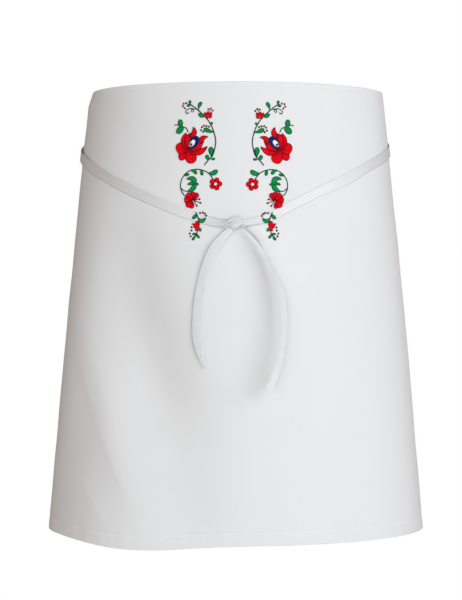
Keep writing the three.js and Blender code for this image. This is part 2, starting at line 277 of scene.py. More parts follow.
def crease_relief(x, y):
    rise = np.zeros_like(x)
    for crease in CREASES:
        x0, y0 = crease["start"][0] * HALF_CUT, crease["start"][1] * APRON_LENGTH
        dx = crease["end"][0] * HALF_CUT - x0
        dy = crease["end"][1] * APRON_LENGTH - y0
        t = np.clip(((x - x0) * dx + (y - y0) * dy) / (dx**2 + dy**2), 0, 1)
        distance = np.hypot(x - x0 - t * dx, y - y0 - t * dy)
        rise += crease["rise"] * bump(distance, crease["reach"]) * (1 - np.abs(2 * t - 1) ** 3)
    return rise


def stitch_relief(x, y):
    """Dents along the stitch lines and puckers beside them."""
    top = -0.00025 * bump(y - TOP_STITCH, 0.0012)
    above_hem = APRON_LENGTH - y
    pucker = 1 + 0.5 * uneven(x, 0.009, 3)
    bottom = -0.00035 * bump(above_hem - BOTTOM_STITCH, 0.0022) * pucker
    ripple = 0.00022 * uneven(x, 0.016, 4) * bump(above_hem - 0.009, 0.012)
    side = -0.0003 * bump(HALF_CUT - np.abs(x) - SIDE_STITCH, 0.0018)
    return top + bottom + ripple + side


def ribbon_relief(x, y):
    """The ribbon sinks a little into the cloth, which swells beside it."""
    rise = np.zeros_like(x)
    for name, sign in (("left", -1), ("right", 1)):
        rows = table("across down width lift", TIE_ROUTES[name])
        here = row_at(rows, "across", sign * x / HALF_CUT)
        inside = (sign * x > 0) & (np.abs(x) < rows["across"][-1] * HALF_CUT)
        distance = y - here["down"] * APRON_LENGTH
        edge = RIBBON_WIDTH * 0.5 * here["width"]
        swell = 0.0005 * bump(np.abs(distance) - edge - 0.004, 0.004)
        rise += np.where(inside, swell - 0.0002 * bump(distance, edge), 0)
    return rise


def ribbon_cover(across, down):
    """How far the outer face of a ribbon stands over the cloth's: nothing where there is no ribbon."""
    x, y = np.broadcast_arrays(across * HALF_CUT, down * APRON_LENGTH)
    height = np.zeros_like(x)
    for name, sign in (("left", -1), ("right", 1)):
        rows = table("across down width lift", TIE_ROUTES[name])
        here = row_at(rows, "across", sign * x / HALF_CUT)
        from_edge = np.abs(y - here["down"] * APRON_LENGTH) - RIBBON_WIDTH * 0.5 * here["width"]
        inside = (sign * x > 0) & (np.abs(x) < rows["across"][-1] * HALF_CUT)
        share = np.clip((COVER_RAMP - from_edge) / COVER_RAMP, 0, 1) * inside
        height += share * (RIBBON_HEIGHT + here["lift"] * RIBBON_WIDTH)
    return height


def small_relief(across, down):
    x, y = np.broadcast_arrays(across * HALF_CUT, down * APRON_LENGTH)
    slow = 0.0003 * uneven(x + 0.3 * y, 0.11, 1) + 0.0002 * uneven(y - 0.4 * x, 0.09, 2)
    return crease_relief(x, y) + stitch_relief(x, y) + ribbon_relief(x, y) + slow


def fold_height(across, down):
    rise = 0
    for rows in FOLDS.values():
        fold = row_at(rows, "down", down)
        rise = rise + FOLD_RISE * fold["height"] * bump(across - fold["across"], fold["reach"])
    return rise


def cloth_point(across, down, off):
    """Points on the cloth, standing off its middle surface by a distance along the level normal."""
    across, down, off = np.broadcast_arrays(across, down, off)
    half_width, half_depth = section(down)
    angle = angle_at(down, across * HALF_CUT)
    normal_x, normal_y = np.sin(angle) / half_width, -np.cos(angle) / half_depth
    size = np.hypot(normal_x, normal_y)
    rise = off + fold_height(across, down) + small_relief(across, down)
    dip = HEM_DROP * bump(across - HEM_DROP_ACROSS, HEM_DROP_REACH)
    flare = (HEM_WIDTH - WAIST_WIDTH) / 2 * np.abs(np.sin(angle))
    slant = np.sqrt(1 - (flare / APRON_LENGTH) ** 2)
    x = half_width * np.sin(angle) + normal_x / size * rise
    y = -half_depth * np.cos(angle) + normal_y / size * rise
    z = -APRON_LENGTH * down * slant - dip * down**2
    return np.stack([x, y, z], axis=-1)


print("knot, on the cloth:", cloth_point(0.0, KNOT_DOWN, WALL_HALF).round(4))

# %% [markdown]
# Every sheet below, cloth or ribbon, is a grid of points through the middle of its thickness. Moving the
# grid out and in along its own normals gives the two faces, and a rim closes the edges. The Solidify
# modifier could do the same, but the grid also carries the unfolded length and width into the UV map, so
# that the weave follows the threads round every fold.

# %% Mesh helpers
UV_NAME = "threads"


def grid_faces(columns, rows):
    """Corner numbers of the quads of a closed sheet: face, back and rim."""
    i, j = np.meshgrid(np.arange(columns - 1), np.arange(rows - 1), indexing="ij")
    a = (i * rows + j).ravel()
    face = np.stack([a, a + 1, a + rows + 1, a + rows], axis=1)
    back = face[:, ::-1] + columns * rows
    other = columns * rows
    long_way = np.arange(columns - 1) * rows
    top = np.stack([long_way, long_way + rows, long_way + rows + other, long_way + other], axis=1)
    bottom = top[:, ::-1] + rows - 1
    short_way = np.arange(rows - 1)
    first = np.stack([short_way, short_way + other, short_way + 1 + other, short_way + 1], axis=1)
    last = first[:, ::-1] + (columns - 1) * rows
    return np.concatenate([face, back, top, bottom, first, last])


def make_object(name, vertices, faces, uv, body="root"):
    """A smooth mesh object from arrays, with a UV map given for each vertex in metres."""
    mesh = bpy.data.meshes.new(name)
    mesh.from_pydata(vertices.tolist(), [], faces.tolist())
    layer = mesh.uv_layers.new(name=UV_NAME)
    corners = np.zeros(len(mesh.loops), int)
    mesh.loops.foreach_get("vertex_index", corners)
    layer.data.foreach_set("uv", uv[corners].astype(np.float32).ravel())
    mesh.polygons.foreach_set("use_smooth", np.ones(len(mesh.polygons), bool))
    mesh.validate()
    piece = bpy.data.objects.new(name, mesh)
    bpy.context.scene.collection.objects.link(piece)
    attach(piece, body)
    return piece


def sheet_object(name, middle, thickness, uv):
    """A sheet of cloth or ribbon round a grid of middle points. thickness may vary over the grid."""
    columns, rows = middle.shape[:2]
    normal = np.cross(np.gradient(middle, axis=1), np.gradient(middle, axis=0))
    normal /= np.linalg.norm(normal, axis=-1, keepdims=True)
    half = np.broadcast_to(thickness, (columns, rows))[..., None] / 2
    vertices = np.concatenate([(middle + normal * half).reshape(-1, 3), (middle - normal * half).reshape(-1, 3)])
    piece = make_object(name, vertices, grid_faces(columns, rows), np.tile(uv.reshape(-1, 2), (2, 1)))
    print(name, "-", len(piece.data.polygons) * 2, "triangles")
    return piece


# %% [markdown]
# The panel is one sheet whose four edges are turned in, as a hem is made: the cloth runs over a tight
# bend and back up inside. Each direction is a path of places with the angle that the bend has turned,
# 0 outside and half a turn inside. At the corners the bottom hem goes over the side hem, so its bend is
# three times as wide there. That gives the real thickness of the corner without joining pieces.

# %% Model the panel with its turned hems
CLOTH_THICKNESS = 0.0005
CLOTH_OFF = WALL_HALF - CLOTH_THICKNESS / 2
BEND_RADIUS = 0.00045
TOP_TURN = 0.010
BOTTOM_TURN = 0.015
SIDE_TURN = 0.010
BEND_STEPS = 6


def turned_path(length, first_turn, last_turn, leg_steps, flat):
    """Places along a length whose both ends are turned in, the turn at each, its side and the cut place."""
    bend = np.linspace(np.pi, 0, BEND_STEPS + 1)[1:-1]

    def edge(turn):
        leg = np.linspace(turn, BEND_RADIUS, leg_steps + 1)
        where = np.concatenate([leg, np.full(len(bend), BEND_RADIUS)])
        turned = np.concatenate([np.full(len(leg), np.pi), bend])
        cut = np.concatenate([-leg, BEND_RADIUS * (1 - bend)])
        return where, turned, cut

    where0, turned0, cut0 = edge(first_turn)
    where1, turned1, cut1 = edge(last_turn)
    return {
        "where": np.concatenate([where0, flat, length - where1[::-1]]),
        "turned": np.concatenate([turned0, np.zeros(len(flat)), turned1[::-1]]),
        "side": np.concatenate([-np.ones(len(where0)), np.zeros(len(flat)), np.ones(len(where1))]),
        "cut": np.concatenate([cut0, flat, length - cut1[::-1]]),
    }


def spaced_rows():
    """Levels down the cloth, closer together near the hems and the ribbons."""
    fine_top = np.arange(BEND_RADIUS, 0.014, 0.0012)
    ribbons = np.arange(0.016, 0.175, 0.0032)
    plain = np.arange(0.180, 0.474, 0.0058)
    fine_bottom = np.arange(0.477, APRON_LENGTH - BEND_RADIUS, 0.0016)
    return np.concatenate([fine_top, ribbons, plain, fine_bottom, [APRON_LENGTH - BEND_RADIUS]])


def panel_grid():
    edges = CUT_WIDTH - BEND_RADIUS
    flat = np.concatenate([
        np.linspace(BEND_RADIUS, 0.012, 8),
        np.linspace(0.015, CUT_WIDTH - 0.015, 212),
        np.linspace(CUT_WIDTH - 0.012, edges, 8),
    ])
    across = turned_path(CUT_WIDTH, SIDE_TURN, SIDE_TURN, 3, flat)
    down = turned_path(APRON_LENGTH, TOP_TURN, BOTTOM_TURN, 4, spaced_rows())
    x = across["where"] - HALF_CUT + across["side"] * BEND_RADIUS * np.sin(across["turned"])
    layer = -BEND_RADIUS * (1 - np.cos(across["turned"]))
    from_edge = HALF_CUT - np.abs(x)
    corner = 1 - np.clip((from_edge - SIDE_TURN) / 0.006, 0, 1)
    radius = (BEND_RADIUS * (1 + 2 * corner * corner * (3 - 2 * corner)))[:, None]
    swing = radius + layer[:, None]
    off = -radius + swing * np.cos(down["turned"])
    reach = swing * np.sin(down["turned"]) - (radius - BEND_RADIUS)
    y = down["where"] + down["side"] * np.where(down["turned"] > 0, reach, 0)
    middle = cloth_point((x / HALF_CUT)[:, None], y / APRON_LENGTH, off + CLOTH_OFF)
    uv = np.stack(np.broadcast_arrays(across["cut"][:, None], -down["cut"]), axis=-1)
    return middle, uv


panel_middle, panel_uv = panel_grid()
panel = sheet_object("apron_panel", panel_middle, CLOTH_THICKNESS, panel_uv)
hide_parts("skirt_panel", "top_hem", "bottom_hem", "side_hem_left", "side_hem_right")

# %% [markdown]
# Threads are small tubes: machine stitches, satin stitches and stem stitches all use the same helper. It
# takes many short runs at once, each a line of points with a thickness at each point, and gives every
# run a rounded, slightly flattened section. A curve object with a bevel for each stitch would be slower
# and harder to export. The UV map holds the length along the thread, for its twist.

# %% Thread helper
THREAD_SIDES = 6


def thread_object(name, slot, centres, radii, ups):
    """Many threads at once: centres (threads, points, 3), radii (threads, points), ups (threads, 3)."""
    threads, points = radii.shape
    along = np.gradient(centres, axis=1)
    along /= np.linalg.norm(along, axis=-1, keepdims=True)
    side = np.cross(along, ups[:, None, :])
    side /= np.linalg.norm(side, axis=-1, keepdims=True)
    up = np.cross(side, along)
    turn = np.arange(THREAD_SIDES) * 2 * np.pi / THREAD_SIDES
    ring = side[:, :, None] * np.cos(turn)[:, None] + 0.8 * up[:, :, None] * np.sin(turn)[:, None]
    vertices = (centres[:, :, None] + ring * radii[:, :, None, None]).reshape(-1, 3)
    k, m = np.meshgrid(np.arange(points - 1), np.arange(THREAD_SIDES), indexing="ij")
    a = (k * THREAD_SIDES + m).ravel()
    b = (k * THREAD_SIDES + (m + 1) % THREAD_SIDES).ravel()
    one = np.stack([a, a + THREAD_SIDES, b + THREAD_SIDES, b], axis=1)
    starts = (np.arange(threads) * points * THREAD_SIDES)[:, None, None]
    quads = (one + starts).reshape(-1, 4).tolist()
    first_ring = np.arange(THREAD_SIDES)
    last_ring = (points - 1) * THREAD_SIDES + first_ring[::-1]
    caps = [(cap + s).tolist() for s in starts.ravel() for cap in (first_ring, last_ring)]
    step = np.linalg.norm(np.diff(centres, axis=1), axis=-1)
    length = np.concatenate([np.zeros((threads, 1)), np.cumsum(step, axis=1)], axis=1)
    length += 0.0137 * np.arange(threads)[:, None]
    uv = np.stack(np.broadcast_arrays(length[:, :, None], turn / (2 * np.pi)), axis=-1).reshape(-1, 2)
    mesh = bpy.data.meshes.new(name)
    mesh.from_pydata(vertices.tolist(), [], quads + caps)
    layer = mesh.uv_layers.new(name=UV_NAME)
    corners = np.zeros(len(mesh.loops), int)
    mesh.loops.foreach_get("vertex_index", corners)
    layer.data.foreach_set("uv", uv[corners].astype(np.float32).ravel())
    mesh.polygons.foreach_set("use_smooth", np.ones(len(mesh.polygons), bool))
    piece = bpy.data.objects.new(name, mesh)
    bpy.context.scene.collection.objects.link(piece)
    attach(piece, "root")
    print(name, "-", threads, "threads")
    return piece


def threads_on_cloth(across, down, heights, radii):
    """Centres, radii and upward directions of threads that lie on the cloth or on a ribbon over it."""
    centres = cloth_point(across, down, WALL_HALF + heights + ribbon_cover(across, down))
    half = across.shape[1] // 2
    middle_across, middle_down = across[:, half], down[:, half]
    above = cloth_point(middle_across, middle_down, 0.01)
    ups = above - cloth_point(middle_across, middle_down, 0.0)
    ups /= np.linalg.norm(ups, axis=-1, keepdims=True)
    return centres, np.broadcast_to(radii, across.shape), ups


# %% [markdown]
# The hems are held by a line of machine stitching: short threads of even length that dip into the cloth
# at both ends. One function lays them along any straight line of the cloth.

# %% Sew the hems
STITCH_PITCH = 0.003
STITCH_SHARE = 0.8
STITCH_RADIUS = 0.00017
STITCH_SHAPE = np.array([-0.00012, 0.00006, 0.0001, 0.00006, -0.00012])


def sew(name, start, end):
    """A line of machine stitches between two places, given in metres across and down the cloth."""
    start, end = np.array(start), np.array(end)
    count = int(np.linalg.norm(end - start) / STITCH_PITCH)
    first = np.arange(count)[:, None]
    share = (first + STITCH_SHARE * np.linspace(0, 1, len(STITCH_SHAPE))) / count
    place = start + (end - start) * share[..., None]
    heights = np.broadcast_to(STITCH_SHAPE, share.shape)
    radii = STITCH_RADIUS * np.array([0.6, 1, 1, 1, 0.6])
    parts = threads_on_cloth(place[..., 0] / HALF_CUT, place[..., 1] / APRON_LENGTH, heights, radii)
    return thread_object(name, "white_thread", *parts)


side_x = HALF_CUT - SIDE_STITCH
hem_y = APRON_LENGTH - BOTTOM_STITCH
stitch_lines = [
    sew("top_stitches", (-HALF_CUT + 0.002, TOP_STITCH), (HALF_CUT - 0.002, TOP_STITCH)),
    sew("bottom_stitches", (-HALF_CUT + 0.002, hem_y), (HALF_CUT - 0.002, hem_y)),
    sew("left_side_stitches", (-side_x, TOP_TURN), (-side_x, hem_y)),
    sew("right_side_stitches", (side_x, TOP_TURN), (side_x, hem_y)),
]

# %% [markdown]
# The ribbon is grosgrain: a thin band with rounded ribs across it. The ribs are real relief in the mesh,
# four points to each, and the band keeps a fine rim at both edges. Near the knot it is drawn together
# into lengthwise pleats. Both ties and both hanging ends are made by one function from a middle line,
# the direction across the ribbon, and the direction that it faces.

# %% Ribbon helper
RIBBON_THICKNESS = 0.00036
RIB_PITCH = 0.0024
RIB_RISE = 0.00017
RIB_POINTS = 6
RIBBON_POINTS = 13
PLEATS = 2.5
PLEAT_RISE = 0.0007


def ribbon_object(name, centre, across, face, width, pleat, curl=0.0):
    """A ribbon along centre points. width is in metres and pleat from 0, flat, to 1, drawn together."""
    v = np.linspace(-1, 1, RIBBON_POINTS)
    step = np.linalg.norm(np.diff(centre, axis=0), axis=1)
    length = np.concatenate([[0], np.cumsum(step)])
    wave = PLEAT_RISE * pleat[:, None] * (1 + np.cos(PLEATS * 2 * np.pi * (v + 1) / 2))
    camber = -curl * (v**2) * np.ones_like(length)[:, None]
    out = (wave + camber)[..., None] * face[:, None]
    middle = centre[:, None] + across[:, None] * (v[:, None] * width[:, None, None] / 2) + out
    rib = 0.5 + 0.5 * np.cos(2 * np.pi * length / RIB_PITCH)
    inside = 1 - np.abs(v) ** 8
    thickness = RIBBON_THICKNESS + 2 * RIB_RISE * (rib[:, None] ** 0.7 * inside + 0.5 * (1 - inside) - 0.5)
    uv = np.stack(np.broadcast_arrays(length[:, None], v * RIBBON_WIDTH / 2), axis=-1)
    piece = sheet_object(name, middle, thickness, uv)
    return piece


# %% [markdown]
# Each tie lies on the cloth along its route. The visible front part is a table of places. The hidden part
# runs on round the back, just under the waist edge, to the far corner where it is sewn on. Behind, the
# right tie passes over the left one.

# %% Model the two ties
TIE_LAP = 0.020
TIE_EDGE_MARGIN = 0.002
CROSS_REACH = 0.060
CROSS_FADE = 0.036
CROSS_LIFT = 0.0013
HIDDEN_CURVE = 1.6
HIDDEN_STEPS = (0.3, 0.5, 0.7, 0.85, 1)
UNDER_KNOT = (0.004, KNOT_DOWN, 0.45, KNOT_LIFT)


def tie_route(front):
    """The whole route: the rows over the front, then the run round the back to the far corner."""
    start_across, start_down = front[-1][:2]
    end_down = (TIE_EDGE_MARGIN + RIBBON_WIDTH / 2) / APRON_LENGTH
    end_across = (2 * half_girth(end_down) + TIE_LAP) / HALF_CUT - 1
    hidden = [
        (
            start_across + (end_across - start_across) * t,
            end_down + (start_down - end_down) * (1 - t) ** HIDDEN_CURVE,
            1,
            0,
        )
        for t in HIDDEN_STEPS
    ]
    return table("across down width lift", front + hidden)


def tie_object(name, front, side, outer):
    rows = tie_route([UNDER_KNOT, *front])
    reach = (rows["across"][-1] - rows["across"][0]) * HALF_CUT
    across = np.linspace(rows["across"][0], rows["across"][-1], int(reach / RIB_PITCH * RIB_POINTS))
    here = row_at(rows, "across", across)
    from_back = np.abs(across * HALF_CUT - half_girth(here["down"].mean()))
    apart = np.clip((from_back - CROSS_REACH) / CROSS_FADE, 0, 1)
    crossing = CROSS_LIFT * (1 - apart * apart * (3 - 2 * apart)) if outer else 0
    seat = WALL_HALF + RIBBON_THICKNESS / 2 + 0.0001
    off = seat + np.maximum(here["lift"], 0) * RIBBON_WIDTH + crossing
    slope = np.gradient(here["down"]) * APRON_LENGTH / (np.gradient(across) * HALF_CUT)
    size = np.hypot(1, slope)
    half = RIBBON_WIDTH / 2 * here["width"]

    def edge(sign):
        edge_across = across - sign * slope / size * half / HALF_CUT
        edge_down = here["down"] + sign * half / size / APRON_LENGTH
        return cloth_point(side * edge_across, edge_down, off)

    low, high = edge(1), edge(-1)
    centre = (low + high) / 2
    bulge = cloth_point(side * across, here["down"], off)
    across_way = (low - high) * (1 if side > 0 else -1)
    width = np.linalg.norm(across_way, axis=1)
    across_way /= width[:, None]
    line = np.gradient(centre, axis=0)
    face = np.cross(across_way, line)
    face /= np.linalg.norm(face, axis=1, keepdims=True)
    pleat = np.clip((0.86 - here["width"]) / 0.3, 0, 1)
    curl = ((bulge - centre) * face).sum(axis=1).mean()
    return ribbon_object(name, centre + curl * face, across_way, face, width, pleat, curl)


left_tie = tie_object("left_tie_ribbon", TIE_ROUTES["left"], -1, False)
right_tie = tie_object("right_tie_ribbon", TIE_ROUTES["right"], 1, True)
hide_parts("tie_left")
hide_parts("tie_right")

# %% [markdown]
# The two loose ends leave the knot, turn away from the cloth and hang free. Each row of the tables gives
# a place to the right of the knot, out from it and below it, as shares of the apron's length, and how far
# the ribbon has rolled about its own line. A limp ribbon hangs nearly straight, so a smooth curve through
# a few places is truer than a simulation, and it keeps the length that the real end has.

# %% Model the two hanging ends
TAIL_ROUTES = {
    "left": table("right out below roll width", [
        (-0.008, 0.001, 0.0087, 15, 0.5),
        (-0.015, 0.003, 0.0151, 12, 0.6),
        (-0.0262, 0.004, 0.0265, 10, 0.75),
        (-0.0385, 0.003, 0.0419, 6, 0.9),
        (-0.0505, 0.0005, 0.0609, 4, 1),
        (-0.0585, -0.002, 0.0799, 2, 1),
        (-0.0655, -0.0035, 0.0999, 2, 1),
        (-0.0715, -0.0045, 0.1209, 4, 1),
        (-0.0762, -0.005, 0.1419, 5, 1),
        (-0.0797, -0.005, 0.1639, 5, 1),
        (-0.0822, -0.005, 0.1859, 5, 1),
        (-0.0838, -0.005, 0.2079, 6, 1),
        (-0.0843, -0.005, 0.2289, 8, 1),
        (-0.083, -0.0044, 0.2499, 10, 1),
        (-0.08, -0.003, 0.2709, 12, 0.9),
        (-0.0745, -0.0005, 0.2919, 14, 0.6),
        (-0.067, 0.002, 0.3119, 16, 0.2),
    ]),
    "right": table("right out below roll width", [
        (0.011, 0.0016, 0.0047, 45, 0.45),
        (0.0186, 0.0036, 0.0107, 60, 0.55),
        (0.0306, 0.0072, 0.0221, 70, 0.75),
        (0.0434, 0.0105, 0.0369, 80, 0.9),
        (0.057, 0.013, 0.0579, 92, 1),
        (0.068, 0.015, 0.0769, 100, 1),
        (0.0774, 0.017, 0.0979, 108, 1),
        (0.0856, 0.02, 0.1209, 116, 1),
        (0.0926, 0.0235, 0.1459, 124, 1),
        (0.0976, 0.027, 0.1719, 128, 1),
        (0.1, 0.031, 0.1989, 130, 1),
        (0.1, 0.035, 0.2259, 130, 1),
        (0.0975, 0.039, 0.2529, 130, 1),
        (0.0932, 0.043, 0.2799, 130, 1),
        (0.0868, 0.046, 0.3069, 132, 1),
        (0.078, 0.049, 0.3329, 137, 1),
        (0.0662, 0.052, 0.3579, 142, 1),
    ]),
}
TAIL_CURL = {"left": 0.0005, "right": 0.0006}
KNOT_OFF = WALL_HALF + PIECE_GAP + KNOT_DEPTH / 2
knot_centre = cloth_point(0.0, KNOT_DOWN, KNOT_OFF) - [0, -float(small_relief(0.0, KNOT_DOWN)), 0]


def tail_object(name, side, node):
    count = len(TAIL_ROUTES[side]["right"])
    rows = {"share": np.linspace(0, 1, count), **TAIL_ROUTES[side]}

    def place(share):
        here = row_at(rows, "share", share)
        shares = np.stack([here["right"], -here["out"], -here["below"]], axis=-1)
        return knot_centre + APRON_LENGTH * shares, here

    fine = np.linspace(0, 1, 600)
    step = np.linalg.norm(np.diff(place(fine)[0], axis=0), axis=1)
    length = np.concatenate([[0], np.cumsum(step)])
    even = np.linspace(0, length[-1], int(length[-1] / RIB_PITCH * RIB_POINTS) + 1)
    centre, here = place(np.interp(even, length, fine))
    line = np.gradient(centre, axis=0)
    line /= np.linalg.norm(line, axis=1, keepdims=True)
    level = np.cross(line, [0, -1, 0])
    level /= np.linalg.norm(level, axis=1, keepdims=True)
    roll = np.radians(here["roll"])[:, None]
    across = level * np.cos(roll) + np.cross(line, level) * np.sin(roll)
    face = np.cross(across, line)
    pleat = 0.6 * np.clip((0.9 - here["width"]) / 0.4, 0, 1)
    piece = ribbon_object(name, centre, across, face, RIBBON_WIDTH * here["width"], pleat, TAIL_CURL[side])
    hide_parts(node)
    print(name, "hangs", round(float(length[-1]), 3), "m")
    return piece


left_tail = tail_object("left_ribbon_end", "left", "tail_left")
right_tail = tail_object("right_ribbon_end", "right", "tail_right")

# %% [markdown]
# In the knot the ribbon is drawn into a rope of pleats. The core, where the ties meet, is a rounded lump
# whose skin is folded lengthwise by a wave. Over it go two real turns of ribbon: the wrap, pulled from the
# top right to the lower left, and a small fold that stands up beside it. They could be sculpted, but as
# strips they keep the ribs and the edges of the ribbon.

# %% Model the core of the knot
CORE_HALF = np.array([0.0096, 0.0024, 0.0038])
CORE_FOLDS = 9
CORE_FOLD_RISE = 0.15


def knot_core():
    """A gathered lump of ribbon: a rounded form whose skin is pleated along its longer way."""
    u = np.linspace(0, np.pi, 61)[:, None]
    v = np.linspace(0, 2 * np.pi, 97)[None, :-1]
    girth = np.sin(u) ** 0.6
    wave = np.cos(CORE_FOLDS * v / 2 + 0.5 * np.sin(u * 2 + v) + 0.8)
    swell = girth * (1 - CORE_FOLD_RISE * (1 - np.abs(wave) ** 0.6))
    along = -np.cos(u) * np.ones_like(v)
    local = np.stack([along, swell * np.cos(v), swell * np.sin(v)], axis=-1) * CORE_HALF
    columns, rows = local.shape[:2]
    i, j = np.meshgrid(np.arange(columns - 1), np.arange(rows), indexing="ij")
    a, b = (i * rows + j).ravel(), (i * rows + (j + 1) % rows).ravel()
    faces = np.stack([a, a + rows, b + rows, b], axis=1)
    uv = np.stack(np.broadcast_arrays(local[..., 0], v * CORE_HALF[2]), axis=-1)
    piece = make_object("knot_core", (knot_centre + local).reshape(-1, 3), faces, uv.reshape(-1, 2))
    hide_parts("knot")
    print("knot_core -", len(faces) * 2, "triangles")


knot_core()

# %% Lay the turns of ribbon over the knot
KNOT_TURNS = {
    "knot_wrap": {
        "width": 0.0088,
        "across": (0.63, 0, -0.77),
        "pleat": 0.8,
        "line": [
            (0.0062, 0.0016, 0.0034), (0.0050, -0.0018, 0.0030), (0.0026, -0.0034, 0.0016),
            (-0.0002, -0.0038, -0.0006), (-0.0030, -0.0034, -0.0030), (-0.0054, -0.0018, -0.0050),
            (-0.0066, 0.0008, -0.0058),
        ],
    },
    "knot_fold": {
        "width": 0.0072,
        "across": (-0.35, 0, 0.94),
        "pleat": 0.7,
        "line": [
            (-0.0140, 0.0024, -0.0034), (-0.0112, 0.0004, -0.0018), (-0.0078, -0.0014, 0.0004),
            (-0.0036, -0.0028, 0.0024), (0.0006, -0.0030, 0.0032), (0.0040, -0.0018, 0.0026),
            (0.0058, 0.0004, 0.0012),
        ],
    },
}
TURN_STEPS = 48


def knot_turn(name, facts):
    """A short turn of ribbon through points about the middle of the knot."""
    points = np.array(facts["line"])
    rows = {"share": np.linspace(0, 1, len(points)), "x": points[:, 0], "y": points[:, 1], "z": points[:, 2]}
    here = row_at(rows, "share", np.linspace(0, 1, TURN_STEPS))
    centre = knot_centre + np.stack([here["x"], here["y"], here["z"]], axis=1)
    line = np.gradient(centre, axis=0)
    line /= np.linalg.norm(line, axis=1, keepdims=True)
    across = np.array(facts["across"]) - line * (line @ np.array(facts["across"]))[:, None]
    across /= np.linalg.norm(across, axis=1, keepdims=True)
    face = np.cross(line, across)
    outward = np.sign((face * (centre - knot_centre)).sum())
    pleat = np.full(TURN_STEPS, facts["pleat"])
    width = np.full(TURN_STEPS, facts["width"])
    piece = ribbon_object(name, centre, across * outward, face * outward, width, pleat, 0.0006)
    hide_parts("knot")


for turn_name, facts in KNOT_TURNS.items():
    knot_turn(turn_name, facts)

# %% [markdown]
# The embroidery is a folk pattern of three motifs on each side: a tall spray with a great red flower, an
# arched spray with a carnation, and a low sprig. A designer would chart it on squared paper. Here the
# chart is in millimetres, outwards from the line between the two sides and down from the waist edge.
# A petal or leaf has a base, a tip, a bend of its spine, a width, and two numbers for how blunt its base
# and its tip are. An oval is a petal that is as blunt at both ends.

